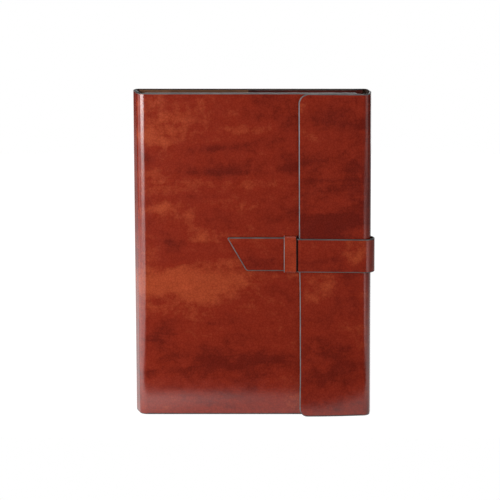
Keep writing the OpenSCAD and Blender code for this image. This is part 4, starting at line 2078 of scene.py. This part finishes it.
LAMPS = (
    Lamp("softbox_left", (-0.783, -0.844, 0.147), (-0.08, 0.0, 0.147), (0.92, 0.16), 16.5),
    Lamp("softbox_high", (-0.783, -0.844, 0.620), (-0.08, 0.0, 0.250), (0.90, 0.50), 4.6),
    Lamp("fill_left", (-1.0, -0.05, 0.27), (-0.12, 0.0, 0.27), (0.5, 0.5), 1.6),
    Lamp("reflector_right", (0.95, -0.55, 0.45), (0.1, 0.0, 0.18), (0.9, 0.9), 0.8),
    Lamp("softbox_top", (0.1, -0.5, 1.7), (0.0, 0.0, 0.2), (0.9, 0.9), 1.2),
    Lamp("softbox_back", (0.3, 1.3, 1.0), (0.0, 0.0, 0.18), (0.9, 0.9), 2.0),
)
# Pools of painted glow that reflections see on the ground: light to the front left and front right, shade
# further out front right, behind and to the right.
GROUND = PaleGround("pale_ground", (0.86, 0.86, 0.86), bright=1.22, mirrored=1.1, shown_share=0.8,
                    mirrored_share=0.7, pools=(
                        PaintedGlowPool((-0.5, -0.866, 0.0), (0.04, 0.13), 1.7),
                        PaintedGlowPool((DIAGONAL, -DIAGONAL, 0.0), (0.10, 0.25), 0.5),
                        PaintedGlowPool((DIAGONAL, -DIAGONAL, 0.0), (0.30, 0.58), -0.5),
                        PaintedGlowPool((0.0, 1.0, 0.0), (0.30, 0.85), -0.8),
                        PaintedGlowPool((1.0, 0.0, 0.0), (0.28, 0.80), -0.8)))


@dataclass
class Studio:
    """White ground, soft light and the camera at the photograph's place."""

    distance: float = 3.841
    elevation: float = math.radians(13.993)
    aim: Triple = (0.0562, 0.0, 0.1675)
    focal_px: float = 3717.4
    aim_px: Span = (309.0, 256.11)
    image_px: float = 500.0
    sensor: float = 36.0
    clip: Span = (0.1, 50.0)
    ground_size: Triple = (2.2, 2.15, 1.0)
    ground_at: Triple = (0.2, 0.175, -0.0002)
    notch_x: float = 0.26
    notch_y: float = -0.09
    room: float = 0.15
    dim: float = 0.02
    backdrop: Span = (0.86, 0.96)

    def build(self) -> None:
        """Set the ground, the lamps, the world and the camera."""
        self._ground()
        for lamp in LAMPS:
            lamp.hang()
        self._world()
        self._camera()
        bpy.context.scene.view_settings.view_transform = "Standard"

    def _ground(self) -> None:
        """Lay the pale ground, with a notch before the object that keeps haze off its front."""
        bm = bmesh.new()
        bmesh.ops.create_grid(bm, x_segments=4, y_segments=4, size=0.5)
        bmesh.ops.scale(bm, vec=self.ground_size, verts=bm.verts[:])
        bmesh.ops.translate(bm, vec=self.ground_at, verts=bm.verts[:])
        for x in (self.notch_x, -self.notch_x):
            cut_along(bm, (x, 0.0, 0.0), (1.0, 0.0, 0.0))
        cut_along(bm, (0.0, self.notch_y, 0.0), (0.0, 1.0, 0.0))
        notch = [f for f in bm.faces if abs(f.calc_center_median().x) < self.notch_x
                 and f.calc_center_median().y < self.notch_y]
        bmesh.ops.delete(bm, geom=notch, context="FACES")
        mesh = bpy.data.meshes.new("pale_ground")
        bm.to_mesh(mesh)
        bm.free()
        mesh.materials.append(GROUND.material())
        ground = bpy.data.objects.new("pale_ground", mesh)
        bpy.context.scene.collection.objects.link(ground)

    def _world(self) -> None:
        """Draw the surroundings: white to the camera, a lit backdrop behind, a dim room elsewhere."""
        world = bpy.data.worlds.new("studio_room")
        world.use_nodes = True
        bpy.context.scene.world = world
        bench = NodeBench(world.node_tree)
        axes = bench.node("ShaderNodeSeparateXYZ")
        bench.feed(axes.inputs[0], bench.place("Generated"))
        behind = bench.rise(axes.outputs[1], self.backdrop, (self.dim, 1.0))
        seen, mirrored = bench.rays()
        room = bench.node("ShaderNodeMix", data_type="FLOAT")
        for socket, value in ((0, mirrored), (2, self.room), (3, behind)):
            bench.feed(room.inputs[socket], value)
        glow = bench.node("ShaderNodeBackground")
        bench.feed(glow.inputs["Strength"], bench.maths("MAXIMUM", room.outputs[0], seen))
        bench.feed(glow.inputs["Color"], WHITE)
        bench.end("ShaderNodeOutputWorld", glow)

    def _camera(self) -> None:
        """Set the camera up level with a long lens, shifted so that the aim lies at its pixel."""
        data = bpy.data.cameras.new("camera")
        data.sensor_width = self.sensor
        data.lens = self.focal_px / self.image_px * self.sensor
        data.clip_start, data.clip_end = self.clip
        camera = bpy.data.objects.new("camera", data)
        back = Vector((0.0, -math.cos(self.elevation), math.sin(self.elevation)))
        camera.location = Vector(self.aim) + back * self.distance
        camera.rotation_euler = (math.pi / 2 - self.elevation, 0.0, 0.0)
        half = self.image_px / 2
        data.shift_x = (half - self.aim_px[0]) / self.image_px
        data.shift_y = (self.aim_px[1] - half) / self.image_px
        bpy.context.scene.collection.objects.link(camera)
        bpy.context.scene.camera = camera


def main() -> None:
    """Build the portfolio's finished pieces in order and report them."""
    logging.basicConfig(level=logging.INFO, format="%(message)s")
    maker = Maker()
    Studio().build()
    for part in (Covers(), ForeEdge(), Strap(), Keeper(), Pockets(), StrapSeam(), WritingPad()):
        part.build(maker)
        LOG.info("%s done", type(part).__name__)
    LOG.info("%d pieces made", maker.count)


if __name__ == "__main__":
    main()
